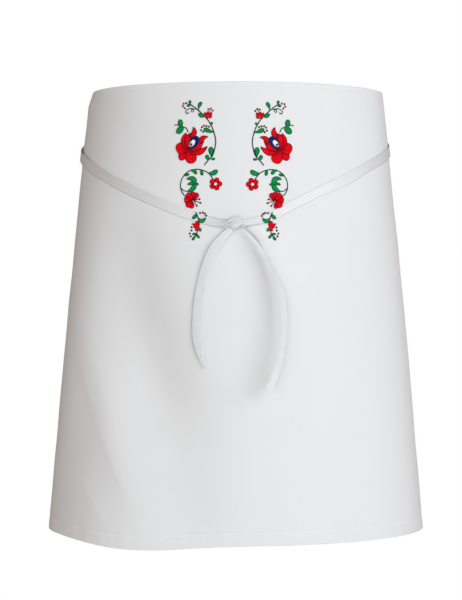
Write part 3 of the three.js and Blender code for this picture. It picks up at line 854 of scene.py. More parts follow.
# %% Chart of the tall spray
TALL_SPRAY = {
    "drop": 0,
    "stems": [
        ("dark_green", 1.1, [
            (31.9, 90.9), (27.9, 86.0), (24.9, 83.1), (22.6, 79.7), (20.8, 74.1), (19.5, 65.4), (20.8, 57.8),
            (23.3, 50.2), (26.3, 44.3), (30.0, 39.4), (36.5, 32.9), (41.2, 28.6), (46.9, 24.6),
        ]),
        ("dark_green", 0.9, [
            (41.3, 30.1), (46.7, 28.8), (50.5, 30.0), (52.5, 32.1), (51.6, 34.3), (49.4, 34.4), (48.8, 32.4),
        ]),
        ("dark_green", 0.9, [(38.3, 31.8), (38.1, 29.1), (37.5, 27.5)]),
        ("dark_green", 0.7, [
            (43.0, 31.4), (43.8, 33.0), (45.6, 33.0), (46.4, 31.4), (45.6, 29.8), (43.8, 29.8), (43.0, 31.4),
        ]),
        ("dark_red", 0.9, [(50.9, 58.0), (51.9, 56.3), (52.2, 54.8)]),
        ("dark_red", 0.9, [(58.6, 48.0), (62.6, 46.1), (65.1, 47.4)]),
        ("dark_green", 1.0, [(56.5, 48.6), (53.2, 49.3), (50.7, 51.3), (49.4, 55.1)]),
        ("dark_green", 0.9, [(29.0, 40.5), (28.3, 39.7), (27.8, 39.2)]),
        ("dark_green", 1.0, [(24.2, 78.3), (24.4, 80.6), (24.7, 83.1)]),
        ("dark_red", 0.8, [(26.5, 32.7), (25.8, 31.4), (25.2, 30.3)]),
    ],
    "petals": [
        ("green", (47.4, 24.0), (47.7, 19.9), -0.01, 3.0, 0.6, 0.5),
        ("green", (46.4, 24.5), (50.9, 26.2), 0, 2.9, 0.6, 0.5),
        ("green", (38.0, 29.6), (34.5, 22.3), 0.12, 3.7, 1, 0.5),
        ("green", (31.7, 38.1), (38.4, 34.2), 0.10, 3.9, 0.8, 0.9),
        ("red", (27.8, 39.4), (31.8, 33.1), 0.07, 3.7, 0.8, 0.9),
        ("red", (27.8, 39.4), (27.5, 32.2), 0.06, 3.9, 0.8, 0.7),
        ("red", (27.8, 39.4), (23.9, 33.1), -0.02, 3.7, 0.8, 0.8),
        ("red", (28.2, 39.0), (23.6, 37.4), -0.07, 3.2, 0.8, 0.7),
        ("green", (25.8, 47.0), (22.8, 44.5), -0.03, 2.5, 0.8, 0.5),
        ("green", (20.9, 55.0), (32.2, 50.9), 0.08, 4.5, 1.3, 0.5),
        ("green", (57.2, 49.1), (58.5, 40.5), 0.01, 5.2, 0.6, 0.5),
        ("green", (55.3, 47.8), (62.4, 55.0), 0.08, 6.5, 0.6, 0.5),
        ("green", (24.2, 81.0), (24.5, 71.2), 0.02, 5.2, 1, 0.55),
        ("green", (27.2, 85.9), (29.8, 79.9), -0.03, 4.1, 0.9, 0.5),
        ("green", (24.8, 84.4), (20.2, 84.0), -0.04, 2.5, 0.8, 0.5),
        ("dark_red", (50.5, 76.5), (42.0, 60.5), 0, 12.5, 0.5, 0.5),
        ("dark_red", (38.6, 70.2), (32.4, 63.8), 0, 4.4, 0.5, 0.5),
        ("red", (49.2, 74.4), (55.9, 85.3), -0.19, 9.0, 0.6, 0.4),
        ("red", (49.0, 74.2), (62.7, 73.2), -0.09, 12.8, 0.6, 0.42),
        ("red", (48.6, 73.9), (44.3, 88.3), -0.01, 12.0, 0.6, 0.42),
        ("red", (47.3, 75.7), (28.2, 70.1), -0.17, 7.1, 0.8, 1.2),
        ("red", (49.7, 73.8), (51.4, 55.2), 0.18, 6.7, 0.8, 1.0),
        ("red", (47.3, 74.2), (34.1, 62.6), -0.20, 5.6, 0.7, 0.7),
        ("red", (35.6, 68.6), (27.2, 60.4), 0.31, 5.2, 0.8, 1.2),
        ("red", (49.0, 72.9), (46.6, 56.2), 0.17, 5.8, 0.7, 0.6),
        ("red", (48.5, 59.9), (44.1, 48.9), -0.31, 5.8, 0.7, 1.0),
        ("blue", (47.6, 72.1), (38.8, 59.7), 0, 9.8, 0.5, 0.5),
        ("white", (47.3, 70.2), (42.3, 63.2), 0, 5.0, 0.5, 0.5),
        ("red", (46.1, 69.9), (46.1, 66.9), 0, 3.0, 0.5, 0.5),
    ],
    "dots": [
        (54.5, 23.6), (51.6, 23.0), (55.3, 26.3), (53.2, 28.5), (27.6, 30.1), (25.0, 29.6), (22.9, 31.6),
        (32.4, 48.0), (29.6, 48.3), (26.9, 49.1), (34.4, 49.7), (35.3, 52.9), (32.9, 54.6),
    ],
}
print("tall spray:", len(TALL_SPRAY["petals"]), "petals and leaves")

# %% Charts of the arched spray and the low sprig
FLOWER_CENTRE = (19.7, 111.4)
FLOWER_PETAL = {"length": 6.9, "width": 5.4, "count": 5}
ARCHED_SPRAY = {
    "drop": 0,
    "stems": [
        ("dark_green", 1.0, [
            (22.3, 106.4), (25.2, 101.9), (28.2, 98.9), (32.4, 96.8), (38.3, 95.3), (45.0, 95.8), (50.2, 98.1),
            (54.3, 102.2), (56.9, 107.1), (57.7, 112.3), (57.3, 116.7), (55.1, 121.3), (52.0, 124.6),
        ]),
        ("dark_green", 0.9, [(57.5, 114.9), (54.6, 117.9), (51.0, 119.0), (47.3, 118.2)]),
        ("dark_red", 0.8, [(43.5, 129.0), (40.4, 128.4), (37.3, 127.8)]),
        ("dark_red", 0.8, [(43.5, 129.0), (39.8, 130.3), (36.1, 131.7)]),
        ("dark_red", 0.8, [(43.5, 129.0), (41.8, 131.8), (40.0, 134.6)]),
    ],
    "petals": [
        ("green", (54.1, 101.9), (48.1, 100.3), -0.02, 2.7, 0.9, 0.5),
        ("green", (47.1, 96.1), (40.5, 100.8), 0.20, 3.6, 0.9, 0.5),
        ("green", (35.8, 96.1), (34.5, 102.0), 0.09, 3.4, 0.9, 0.5),
        ("green", (28.2, 99.3), (17.9, 96.3), -0.19, 4.8, 1, 0.5),
        ("green", (42.3, 112.5), (51.2, 105.8), -0.39, 5.4, 0.6, 0.9),
        ("green", (41.7, 110.4), (50.7, 119.0), 0.20, 4.8, 0.6, 1.0),
        ("green", (42.7, 110.6), (50.3, 111.8), -0.07, 3.2, 0.6, 0.8),
        ("green", (42.5, 111.4), (37.7, 111.6), 0.02, 2.4, 0.6, 0.5),
        ("red", (44.0, 129.0), (53.4, 128.8), -0.04, 7.6, 0.9, 0.34),
        ("red", (44.2, 128.4), (38.3, 121.7), 0.04, 5.6, 0.6, 0.4),
        ("red", (44.4, 128.6), (44.4, 119.6), -0.03, 6.0, 0.8, 0.38),
        ("red", (45.0, 129.6), (45.2, 137.6), -0.02, 5.2, 0.8, 0.38),
        ("red", (44.4, 129.0), (50.9, 135.6), 0.01, 6.2, 0.8, 0.38),
        ("red", (44.2, 128.8), (50.7, 121.6), -0.03, 6.2, 0.9, 0.36),
    ],
    "dots": [(37.0, 127.6), (35.9, 131.8), (39.8, 134.8)],
}
for i in range(FLOWER_PETAL["count"]):
    turn = math.pi + i * 2 * math.pi / FLOWER_PETAL["count"]
    reach = FLOWER_PETAL["length"]
    tip = (FLOWER_CENTRE[0] + reach * math.cos(turn), FLOWER_CENTRE[1] + reach * math.sin(turn))
    ARCHED_SPRAY["petals"].append(("red", FLOWER_CENTRE, tip, 0, FLOWER_PETAL["width"], 0.7, 0.42))
heart = [(FLOWER_CENTRE[0] + step, FLOWER_CENTRE[1]) for step in (-1.8, 1.8)]
ARCHED_SPRAY["petals"].append(("white", heart[0], heart[1], 0, 3.6, 0.5, 0.5))

LOW_SPRIG = {
    "drop": 0,
    "stems": [
        ("dark_green", 1.0, [
            (41.0, 141.5), (38.6, 147.0), (37.8, 151.9), (37.5, 157.3), (38.8, 161.7), (40.4, 165.4), (41.7, 167.5),
        ]),
    ],
    "petals": [
        ("green", (40.3, 143.3), (44.9, 148.0), 0.18, 3.8, 0.9, 0.6),
        ("green", (38.7, 147.2), (30.0, 147.6), -0.47, 3.9, 0.9, 0.8),
        ("red", (37.8, 156.5), (45.4, 153.9), 0.04, 3.2, 0.7, 1.1),
        ("red", (37.5, 156.9), (41.1, 151.9), -0.08, 4.5, 0.7, 0.6),
        ("red", (37.5, 156.9), (43.8, 157.3), 0.01, 4.1, 0.7, 0.7),
        ("red", (37.5, 156.9), (41.7, 161.7), 0.08, 4.5, 0.7, 0.9),
        ("green", (38.0, 158.2), (36.0, 162.6), 0.11, 3.2, 0.8, 0.5),
        ("green", (40.1, 164.9), (44.8, 165.7), -0.04, 2.4, 0.8, 0.5),
        ("green", (40.0, 164.7), (36.7, 169.7), -0.12, 2.5, 0.8, 0.6),
        ("green", (41.5, 167.3), (45.1, 171.6), 0.06, 2.9, 0.8, 0.5),
    ],
    "dots": [
        (36.2, 142.6), (33.2, 142.3), (31.1, 143.4), (29.6, 145.7),
        (45.4, 158.0), (45.8, 161.4), (47.5, 164.7), (46.5, 167.7),
    ],
}
MOTIFS = {"tall spray": TALL_SPRAY, "arched spray": ARCHED_SPRAY, "low sprig": LOW_SPRIG}
print("motifs on each side:", ", ".join(MOTIFS))

# %% [markdown]
# A petal is filled with satin stitch: threads laid side by side from one edge to the other. Where petals
# overlap, a stitch stops at the edge of the petal that lies over it, as a needle would. So each stitch is
# tried at close places and only its uncovered run is kept. Wide petals are filled in two rows of stitches
# that meet at uneven places, because a very long satin stitch would snag.

# %% From chart to stitches
SATIN_PITCH = 0.42
SATIN_RADIUS = 0.27
SATIN_SLANT = 0.35
LONGEST_STITCH = 7.5
SHORTEST_STITCH = 0.7
SHADE_MOST = 1.2
SHADE_REACH = 0.65
STITCH_POINTS = 7
OUTLINE_STITCH = 2.6
OUTLINE_ADVANCE = 1.5
RIMS = {"red": "dark_red", "green": "dark_green", "blue": "dark_green"}
RIM_RADIUS = 0.36
SMALL_PETAL = 4.6
SMALL_RIM_RADIUS = 0.28


def petal_line(petal, steps):
    """Spine, sideways direction and half width of a petal at even steps from base to tip."""
    _, base, tip, bend, width, root, point = petal
    base, tip = np.array(base), np.array(tip)
    chord = tip - base
    control = (base + tip) / 2 + 2 * bend * np.array([-chord[1], chord[0]])
    t = np.linspace(0, 1, steps)[:, None]
    spine = (1 - t) ** 2 * base + 2 * t * (1 - t) * control + t**2 * tip
    line = np.gradient(spine, axis=0)
    line /= np.linalg.norm(line, axis=1, keepdims=True)
    side = np.stack([-line[:, 1], line[:, 0]], axis=1)
    t = t[:, 0]
    fullest = root / (root + point)
    half = width / 2 * t**root * (1 - t) ** point / (fullest**root * (1 - fullest) ** point)
    return spine, side, half


def covered(places, petals):
    """True for each place that lies under any of the petals."""
    hidden = np.zeros(len(places), bool)
    for petal in petals:
        spine, _, half = petal_line(petal, 48)
        distance = np.linalg.norm(places[:, None] - spine, axis=2)
        nearest = distance.argmin(axis=1)
        hidden |= distance[np.arange(len(places)), nearest] < half[nearest] - 0.1
    return hidden


def kept_run(start, end, over):
    """The longest uncovered part of a straight stitch, or None."""
    share = np.linspace(0, 1, 33)
    places = start + (end - start) * share[:, None]
    free = np.concatenate([[False], ~covered(places, over), [False]])
    changes = np.flatnonzero(free[1:] != free[:-1])
    if len(changes) == 0:
        return None
    runs = changes.reshape(-1, 2)
    first, last = runs[np.argmax(runs[:, 1] - runs[:, 0])]
    kept = (places[first], places[last - 1])
    return kept if np.linalg.norm(kept[1] - kept[0]) > SHORTEST_STITCH else None


def satin(petal, over, random):
    """Stitches that fill a petal: each has a start, an end, and whether it is one of the shaded ones."""
    spine, side, half = petal_line(petal, 200)
    length = np.linalg.norm(np.diff(spine, axis=0), axis=1).sum()
    count = max(int(length * (1 + abs(petal[3])) / SATIN_PITCH), 3)
    slant = SATIN_SLANT / count
    stitches = []
    for t in np.linspace(0.02, 0.98, count):
        a = int(np.clip(t - slant, 0, 1) * 199)
        b = int(np.clip(t + slant, 0, 1) * 199)
        ends = [spine[a] + side[a] * half[a], spine[b] - side[b] * half[b]]
        if half[int(t * 199)] * 2 > LONGEST_STITCH:
            meet = random.uniform(0.38, 0.62)
            middle = ends[0] + (ends[1] - ends[0]) * meet
            ends = [ends[0], middle, middle, ends[1]]
        shaded = random.uniform() < SHADE_MOST * (1 - t / SHADE_REACH)
        for start, end in zip(ends[::2], ends[1::2]):
            run = kept_run(start, end, over)
            if run is not None:
                stitches.append((*run, shaded))
    return stitches


print("satin pitch:", SATIN_PITCH, "mm")

# %% [markdown]
# Stems and the dark rims of the petals are stem stitch: short stitches that overlap by nearly half, each
# a little to one side of the last, so that the row looks like a fine rope. A dot is a small knot: a ring
# of thread with its end pulled through the middle.

# %% Stem stitch and knots
KNOT_RING = 0.6
KNOT_THREAD = 0.58
STEM_RADIUS = 0.54


def smooth_line(points, steps):
    """A smooth line through charted points."""
    points = np.array(points, float)
    rows = {"share": np.linspace(0, 1, len(points)), "x": points[:, 0], "y": points[:, 1]}
    here = row_at(rows, "share", np.linspace(0, 1, steps))
    return np.stack([here["x"], here["y"]], axis=1)


def stem_stitches(line, width, over):
    """Overlapping stitches along a line: a list of starts and ends, with the side step built in."""
    step = np.linalg.norm(np.diff(line, axis=0), axis=1)
    length = np.concatenate([[0], np.cumsum(step)])
    starts = np.arange(0, max(length[-1] - OUTLINE_ADVANCE, 0.1), OUTLINE_ADVANCE)
    stitches = []
    for s in starts:
        ends = [np.array([np.interp(p, length, line[:, k]) for k in (0, 1)]) for p in (s, s + OUTLINE_STITCH)]
        middle = ((ends[0] + ends[1]) / 2)[None]
        if over and covered(middle, over)[0]:
            continue
        along = (ends[1] - ends[0]) / max(np.linalg.norm(ends[1] - ends[0]), 0.001)
        aside = np.array([-along[1], along[0]]) * width * 0.16
        stitches.append((ends[0] - aside, ends[1] + aside))
    return stitches


def chart_threads(motif, random):
    """All threads of a motif in chart millimetres: for each colour lists of points, heights and radii."""
    threads = {}

    def add(colour, line, heights, radii):
        threads.setdefault(colour, []).append((line, heights, radii))

    share = np.linspace(0, 1, STITCH_POINTS)
    arch = np.sqrt(np.clip(1 - (2 * share - 1) ** 2, 0, 1))
    taper = np.array([0.75, 0.95, 1, 1, 1, 0.95, 0.75])
    petals = motif["petals"]
    for i, petal in enumerate(petals):
        colour, over = petal[0], petals[i + 1:]
        small = petal[4] < SMALL_PETAL
        for start, end, shaded in satin(petal, over, random):
            puff = min(0.16 + 0.06 * np.linalg.norm(end - start), 0.5)
            line = start + (end - start) * share[:, None]
            floss = "deep_red" if colour == "red" and shaded and not small else colour
            add(floss, line, puff * arch - 0.02, SATIN_RADIUS * taper)
        if colour in RIMS:
            spine, side, half = petal_line(petal, 80)
            rim = np.concatenate([spine + side * half[:, None], (spine - side * half[:, None])[::-1]])
            radius = SMALL_RIM_RADIUS if small else RIM_RADIUS
            beside = [other for other in petals if other is not petal and other[0] == colour]
            for start, end in stem_stitches(rim, 0.7, beside if small else over):
                line = start + (end - start) * share[:, None]
                add(RIMS[colour], line, 0.3 + 0.14 * arch, radius * taper)
    for colour, width, points in motif["stems"]:
        for start, end in stem_stitches(smooth_line(points, 120), width, petals):
            line = start + (end - start) * share[:, None]
            add(colour, line, 0.1 + 0.14 * arch, width * STEM_RADIUS * taper)
    for dot in motif["dots"]:
        for half_turn in (0, 1):
            turn = np.pi * (share * 1.02 + half_turn)
            ring = np.array(dot) + KNOT_RING * np.stack([np.cos(turn), np.sin(turn)], axis=1)
            add("dark_red", ring, np.full(STITCH_POINTS, 0.22), np.full(STITCH_POINTS, KNOT_THREAD))
    return threads


tall_threads = chart_threads(TALL_SPRAY, np.random.RandomState(5))
print("tall spray:", {colour: len(found) for colour, found in tall_threads.items()}, "threads")

# %% [markdown]
# The right side is the mirror of the left one and sits half a millimetre lower, as hand-placed patterns
# do. Each colour of thread on each side becomes one piece, with all its stitches joined.

# %% Embroider both sides
MIRROR_LINE = -2.5
CHART_TO_CLOTH = 1.01
SIDE_DROPS = {"left": 0.0, "right": 0.5}


def embroider(side):
    sign = -1 if side == "left" else 1
    colours = {}
    for number, motif in enumerate(MOTIFS.values()):
        for colour, found in chart_threads(motif, np.random.RandomState(5 + number)).items():
            lines = np.array([line for line, _, _ in found])
            x = (MIRROR_LINE + sign * lines[..., 0]) * CHART_TO_CLOTH * MM
            y = (lines[..., 1] + motif["drop"] + SIDE_DROPS[side]) * MM
            heights = np.array([height for _, height, _ in found]) * MM
            radii = np.array([radius for _, _, radius in found]) * MM
            colours.setdefault(colour, []).append((x, y, heights, radii))
    pieces = []
    for colour, groups in sorted(colours.items()):
        x, y, heights, radii = (np.concatenate(parts) for parts in zip(*groups))
        parts = threads_on_cloth(x / HALF_CUT, y / APRON_LENGTH, heights, radii)
        slot = "red_thread" if colour == "deep_red" else f"{colour}_thread"
        pieces.append(thread_object(f"{side}_spray_{colour}", slot, *parts))
    return pieces


embroidery = embroider("left") + embroider("right")

# %% [markdown]

# %% [markdown]
# Materials in Blender are graphs of nodes. Two small helpers keep them short: one adds a node with its
# values, and one makes a group whose inputs and outputs have names, so that the same effect can be
# placed in several materials with its own values.

# %% Node helpers


def add_node(tree, kind, values=(), **settings):
    """A node with its settings, and its inputs either linked or set. Gives back the node."""
    node = tree.nodes.new(kind)
    for name, value in settings.items():
        setattr(node, name, value)
    for socket, value in dict(values).items():
        if isinstance(value, bpy.types.NodeSocket):
            tree.links.new(value, node.inputs[socket])
        else:
            node.inputs[socket].default_value = value
    return node


def maths(tree, operation, *values):
    """The result socket of a Math node."""
    return add_node(tree, "ShaderNodeMath", enumerate(values), operation=operation).outputs[0]


def new_group(name, inputs, outputs):
    """A shader node group. inputs and outputs are lists of a name, a socket kind and a first value."""
    tree = bpy.data.node_groups.new(name, "ShaderNodeTree")
    for label, kind, value in inputs:
        socket = tree.interface.new_socket(label, in_out="INPUT", socket_type=kind)
        if value is not None:
            socket.default_value = value
    for label, kind in outputs:
        tree.interface.new_socket(label, in_out="OUTPUT", socket_type=kind)
    return tree, tree.nodes.new("NodeGroupInput").outputs, tree.nodes.new("NodeGroupOutput").inputs


def place_group(tree, group, values=()):
    node = tree.nodes.new("ShaderNodeGroup")
    node.node_tree = group
    for socket, value in dict(values).items():
        if isinstance(value, bpy.types.NodeSocket):
            tree.links.new(value, node.inputs[socket])
        else:
            node.inputs[socket].default_value = value
    return node.outputs


# %% [markdown]
# Three effects are shared. The weave raises a thread over its neighbour in turn, both ways, from the UV
# map in metres. The uneven tone makes cloth and thread a little lighter and darker from place to place.
# The twist draws the slanting plies of a thread from the length along it and the way round it.

# %% Shared effects
FLOAT, VECTOR, COLOUR = "NodeSocketFloat", "NodeSocketVector", "NodeSocketColor"

weave, weave_in, weave_out = new_group(
    "plain_weave",
    [("Threads", VECTOR, None), ("Pitch", FLOAT, 0.0005), ("Slub", FLOAT, 0.3)],
    [("Height", FLOAT), ("Gaps", FLOAT)],
)
parts = add_node(weave, "ShaderNodeSeparateXYZ", {0: weave_in["Threads"]}).outputs
ways = [
    maths(weave, "SINE", maths(weave, "MULTIPLY", maths(weave, "DIVIDE", way, weave_in["Pitch"]), math.pi))
    for way in (parts["X"], parts["Y"])
]
over = maths(weave, "MULTIPLY", ways[0], ways[1])
crown = maths(weave, "MULTIPLY", maths(weave, "ABSOLUTE", ways[0]), maths(weave, "ABSOLUTE", ways[1]))
slubs = add_node(
    weave,
    "ShaderNodeTexNoise",
    {
        "Vector": add_node(
            weave, "ShaderNodeVectorMath", {0: weave_in["Threads"], 1: (90, 700, 1)}, operation="MULTIPLY"
        ).outputs[0],
        "Scale": 1.0,
        "Detail": 2.0,
    },
).outputs[0]
thick = maths(weave, "MULTIPLY_ADD", slubs, weave_in["Slub"], maths(weave, "MULTIPLY", over, 0.25))
weave.links.new(maths(weave, "ADD", maths(weave, "POWER", crown, 0.5), thick), weave_out["Height"])
weave.links.new(maths(weave, "SUBTRACT", 1.0, maths(weave, "POWER", crown, 0.35)), weave_out["Gaps"])

tone, tone_in, tone_out = new_group(
    "uneven_tone",
    [("Place", VECTOR, None), ("Colour", COLOUR, (0.8, 0.8, 0.8, 1)), ("Size", FLOAT, 0.05), ("Amount", FLOAT, 0.1)],
    [("Colour", COLOUR), ("Mask", FLOAT)],
)
cloud = add_node(
    tone,
    "ShaderNodeTexNoise",
    {"Vector": tone_in["Place"], "Scale": maths(tone, "DIVIDE", 1.0, tone_in["Size"]), "Detail": 3.0},
).outputs[0]
swing = maths(tone, "MULTIPLY", maths(tone, "SUBTRACT", cloud, 0.5), tone_in["Amount"])
share = maths(tone, "ADD", maths(tone, "MULTIPLY", swing, 2.0), 1.0)
tinted = add_node(
    tone, "ShaderNodeVectorMath", {0: tone_in["Colour"], "Scale": share}, operation="SCALE"
).outputs[0]
tone.links.new(tinted, tone_out["Colour"])
tone.links.new(cloud, tone_out["Mask"])

twist, twist_in, twist_out = new_group(
    "thread_twist",
    [("Threads", VECTOR, None), ("Length", FLOAT, 0.0012)],
    [("Height", FLOAT)],
)
parts = add_node(twist, "ShaderNodeSeparateXYZ", {0: twist_in["Threads"]}).outputs
turns = maths(twist, "ADD", maths(twist, "DIVIDE", parts["X"], twist_in["Length"]), parts["Y"])
ply = maths(twist, "SINE", maths(twist, "MULTIPLY", turns, 2 * math.pi))
twist.links.new(maths(twist, "MULTIPLY_ADD", ply, 0.5, 0.5), twist_out["Height"])
print("shared effects:", ", ".join(group.name for group in bpy.data.node_groups))

# %% [markdown]
# Cotton is matt and white, with the threads of its plain weave just readable close up and a soft bloom
# at grazing angles, which is what sheen is for. The ribbon has a tighter weave and is smoother, so its
# ribs catch more light. The gaps of the weave and the grooves between the ribs get painted shade.

# %% Cloth materials
GLOW_REACH = 0.0015


def cloth_material(name, colour, pitch, depth, roughness, sheen, tone_amount, metallic=0.0, ribs=0.0, glow=0.0):
    material = bpy.data.materials.new(name)
    material.use_nodes = True
    tree = material.node_tree
    shader = tree.nodes["Principled BSDF"]
    threads = add_node(tree, "ShaderNodeUVMap", uv_map=UV_NAME).outputs[0]
    place = add_node(tree, "ShaderNodeTexCoord").outputs["Object"]
    woven = place_group(tree, weave, {"Threads": threads, "Pitch": pitch, "Slub": 0.5})
    toned = place_group(
        tree, tone, {"Place": place, "Colour": (*colour, 1), "Size": 0.06, "Amount": tone_amount}
    )
    # Painted shade: the base colour is made a little darker in the gaps of the weave and, on the ribbon, in the
    # grooves between its ribs.
    painted_hollow_shade = maths(tree, "MULTIPLY_ADD", woven["Gaps"], -0.06, 1.0)
    if ribs:
        length = add_node(tree, "ShaderNodeSeparateXYZ", {0: threads}).outputs["X"]
        turn = maths(tree, "MULTIPLY", length, 2 * math.pi / RIB_PITCH)
        rib_groove_shade = maths(tree, "MULTIPLY_ADD", maths(tree, "COSINE", turn), ribs / 2, 1 - ribs / 2)
        painted_hollow_shade = maths(tree, "MULTIPLY", painted_hollow_shade, rib_groove_shade)
    shaded = add_node(tree, "ShaderNodeVectorMath", {0: toned["Colour"], "Scale": painted_hollow_shade}, operation="SCALE")
    bump_node = add_node(
        tree, "ShaderNodeBump", {"Height": woven["Height"], "Strength": 0.35, "Distance": depth}
    )
    tree.links.new(shaded.outputs[0], shader.inputs["Base Color"])
    tree.links.new(bump_node.outputs[0], shader.inputs["Normal"])
    tree.links.new(maths(tree, "MULTIPLY_ADD", woven["Gaps"], 0.1, roughness), shader.inputs["Roughness"])
    shader.inputs["Sheen Weight"].default_value = sheen
    shader.inputs["Sheen Roughness"].default_value = 0.5
    shader.inputs["Specular IOR Level"].default_value = 0.3
    shader.inputs["Metallic"].default_value = metallic
    shader.inputs["Subsurface Weight"].default_value = glow
    shader.inputs["Subsurface Radius"].default_value = (1, 1, 1)
    shader.inputs["Subsurface Scale"].default_value = GLOW_REACH
    return material


materials = {
    "cotton": cloth_material("white_cotton", (0.858, 0.860, 0.866), 0.0005, 0.00008, 0.82, 0.12, 0.015),
    "ribbon": cloth_material(
        "white_grosgrain", (0.86, 0.86, 0.87), 0.0003, 0.00006, 0.55, 0.0, 0.02, metallic=0.32, ribs=0.08
    ),
    "soft_ribbon": cloth_material(
        "white_grosgrain_loose", (0.9, 0.9, 0.91), 0.0003, 0.00006, 0.65, 0.0, 0.02, ribs=0.06, glow=0.5
    ),
}
print("loose ends and knot get the softer, less glossy side of the ribbon")

# %% [markdown]
# Embroidery floss is silky. Each colour has the same plies, a gloss that is broken by them, painted shade
# in the twist between them, and a slow change of tone, because floss takes dye unevenly.

# %% Thread materials


def thread_material(name, colour, roughness, tone_amount, painted_ply_shade):
    material = bpy.data.materials.new(name)
    material.use_nodes = True
    tree = material.node_tree
    shader = tree.nodes["Principled BSDF"]
    threads = add_node(tree, "ShaderNodeUVMap", uv_map=UV_NAME).outputs[0]
    place = add_node(tree, "ShaderNodeTexCoord").outputs["Object"]
    plies = place_group(tree, twist, {"Threads": threads, "Length": 0.0016})["Height"]
    toned = place_group(
        tree, tone, {"Place": place, "Colour": (*colour, 1), "Size": 0.004, "Amount": tone_amount}
    )
    # Painted shade: the plies darken the base colour in the twist between them, strongly on coloured floss and
    # faintly on white.
    depth = maths(tree, "MULTIPLY_ADD", plies, painted_ply_shade, 1.08 - painted_ply_shade)
    shaded = add_node(tree, "ShaderNodeVectorMath", {0: toned["Colour"], "Scale": depth}, operation="SCALE")
    bump_node = add_node(tree, "ShaderNodeBump", {"Height": plies, "Strength": 0.5, "Distance": 0.00008})
    tree.links.new(shaded.outputs[0], shader.inputs["Base Color"])
    tree.links.new(bump_node.outputs[0], shader.inputs["Normal"])
    tree.links.new(maths(tree, "MULTIPLY_ADD", plies, -0.12, roughness), shader.inputs["Roughness"])
    shader.inputs["Specular IOR Level"].default_value = 0.07
    return material


THREAD_COLOURS = {
    "red": (0.93, 0.0005, 0.010),
    "deep_red": (0.56, 0.0005, 0.009),
    "green": (0.001, 0.34, 0.075),
    "dark_red": (0.17, 0.0005, 0.006),
    "dark_green": (0.002, 0.05, 0.018),
    "blue": (0.01, 0.02, 0.22),
    "white": (0.97, 0.97, 0.97),
}
for colour_name, value in THREAD_COLOURS.items():
    uneven_dye, painted_ply_shade = (0.0, 0.08) if colour_name == "white" else (0.1, 0.3)
    floss = thread_material(colour_name + "_floss", value, 0.55, uneven_dye, painted_ply_shade)
    materials[colour_name + "_thread"] = floss
print("materials:", ", ".join(materials))

# %% Put the materials on
PIECE_MATERIALS = {
    "apron": "cotton",
    "tie": "ribbon",
    "end": "soft_ribbon",
    "knot": "soft_ribbon",
    "stitches": "white_thread",
}
for piece in list(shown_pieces()):
    if piece.type != "MESH" or piece.data.materials:
        continue
    words = piece.name.split("_")
    slot_name = next((slot for word, slot in PIECE_MATERIALS.items() if word in words), None)
    if slot_name is None and "spray" in words:
        slot_name = "_".join(words[2:]) + "_thread"
    if slot_name:
        piece.data.materials.append(materials[slot_name])

# %% [markdown]
# The picture is a cut-out on pure white, so the backdrop and the sky are white to the camera alone. All
# other rays see a dim, slightly warm studio, which fills the shadow side. The key light is very large, high
# and to the right, and gives the soft shadows of the ribbon ends. A broad weak light in front lifts the
# folds of the left half, and a low strip, like a white table, lights the undersides of the ribbon.

# %% Backdrop and studio light
from mathutils import Vector

SUBJECT = Vector((0, 0, -0.25))
FLOOR = -1.2
FLOOR_REACH = 6
STUDIO_FILL = (0.285, 0.225, 0.2, 1)
LIGHTS = {
    "key": {
        "azimuth": 42, "elevation": 19, "distance": 6, "size": (4.5, 4.5), "power": 172, "colour": (0.92, 1, 1.05),
    },
    "front": {
        "azimuth": -8, "elevation": 8, "distance": 5, "size": (2.5, 2.5), "power": 40, "colour": (0.91, 1, 1.03),
    },
    "low": {
        "azimuth": -8, "elevation": -8, "distance": 4, "size": (3.5, 0.7), "power": 27, "colour": (0.91, 1, 1.03),
    },
}


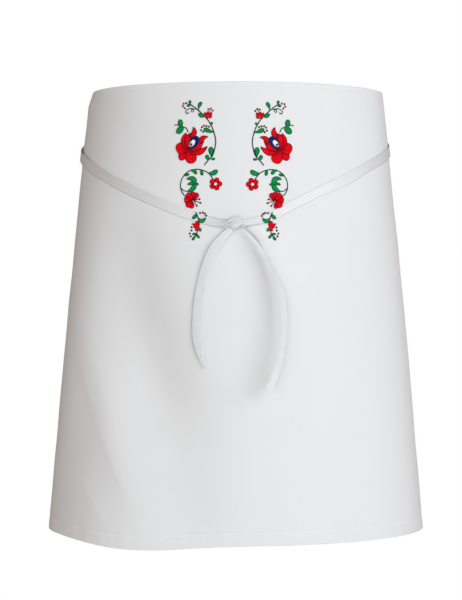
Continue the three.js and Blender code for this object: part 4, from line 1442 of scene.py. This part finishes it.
def studio_light(name, azimuth, elevation, distance, size, power, colour):
    data = bpy.data.lights.new(name, "AREA")
    data.shape = "RECTANGLE"
    data.size, data.size_y = size
    data.energy = power
    data.color = colour
    item = bpy.data.objects.new(name, data)
    a, e = math.radians(azimuth), math.radians(elevation)
    away = Vector((math.sin(a) * math.cos(e), -math.cos(a) * math.cos(e), math.sin(e)))
    item.location = SUBJECT + away * distance
    item.rotation_euler = away.to_track_quat("Z", "Y").to_euler()
    bpy.context.scene.collection.objects.link(item)


for light_name, facts in LIGHTS.items():
    studio_light(light_name, **facts)

world = bpy.data.worlds.new("studio")
bpy.context.scene.world = world
world.use_nodes = True
sky = world.node_tree
sky_fill = sky.nodes["Background"]
sky_fill.inputs["Color"].default_value = STUDIO_FILL
sky_white = add_node(sky, "ShaderNodeBackground", {"Color": (1, 1, 1, 1), "Strength": 1.0})
seen = add_node(sky, "ShaderNodeLightPath").outputs["Is Camera Ray"]
sky_mix = add_node(sky, "ShaderNodeMixShader", {0: seen, 1: sky_fill.outputs[0], 2: sky_white.outputs[0]})
sky.links.new(sky_mix.outputs[0], sky.nodes["World Output"].inputs["Surface"])

floor_mesh = bpy.data.meshes.new("floor")
reach = FLOOR_REACH
floor_mesh.from_pydata(
    [(-reach, -reach, FLOOR), (reach, -reach, FLOOR), (reach, reach, FLOOR), (-reach, reach, FLOOR)],
    [],
    [(0, 1, 2, 3)],
)
floor = bpy.data.objects.new("floor", floor_mesh)
bpy.context.scene.collection.objects.link(floor)
paper = bpy.data.materials.new("white_backdrop")
paper.use_nodes = True
tree = paper.node_tree
lit = tree.nodes["Principled BSDF"]
lit.inputs["Base Color"].default_value = (0.8, 0.8, 0.8, 1)
lit.inputs["Roughness"].default_value = 0.9
glow = add_node(tree, "ShaderNodeEmission", {"Color": (1, 1, 1, 1), "Strength": 1.0})
seen = add_node(tree, "ShaderNodeLightPath").outputs["Is Camera Ray"]
mix = add_node(tree, "ShaderNodeMixShader", {0: seen, 1: lit.outputs[0], 2: glow.outputs[0]})
tree.links.new(mix.outputs[0], tree.nodes["Material Output"].inputs["Surface"])
floor_mesh.materials.append(paper)
bpy.context.scene.view_settings.view_transform = "Standard"
print("lights:", ", ".join(LIGHTS))
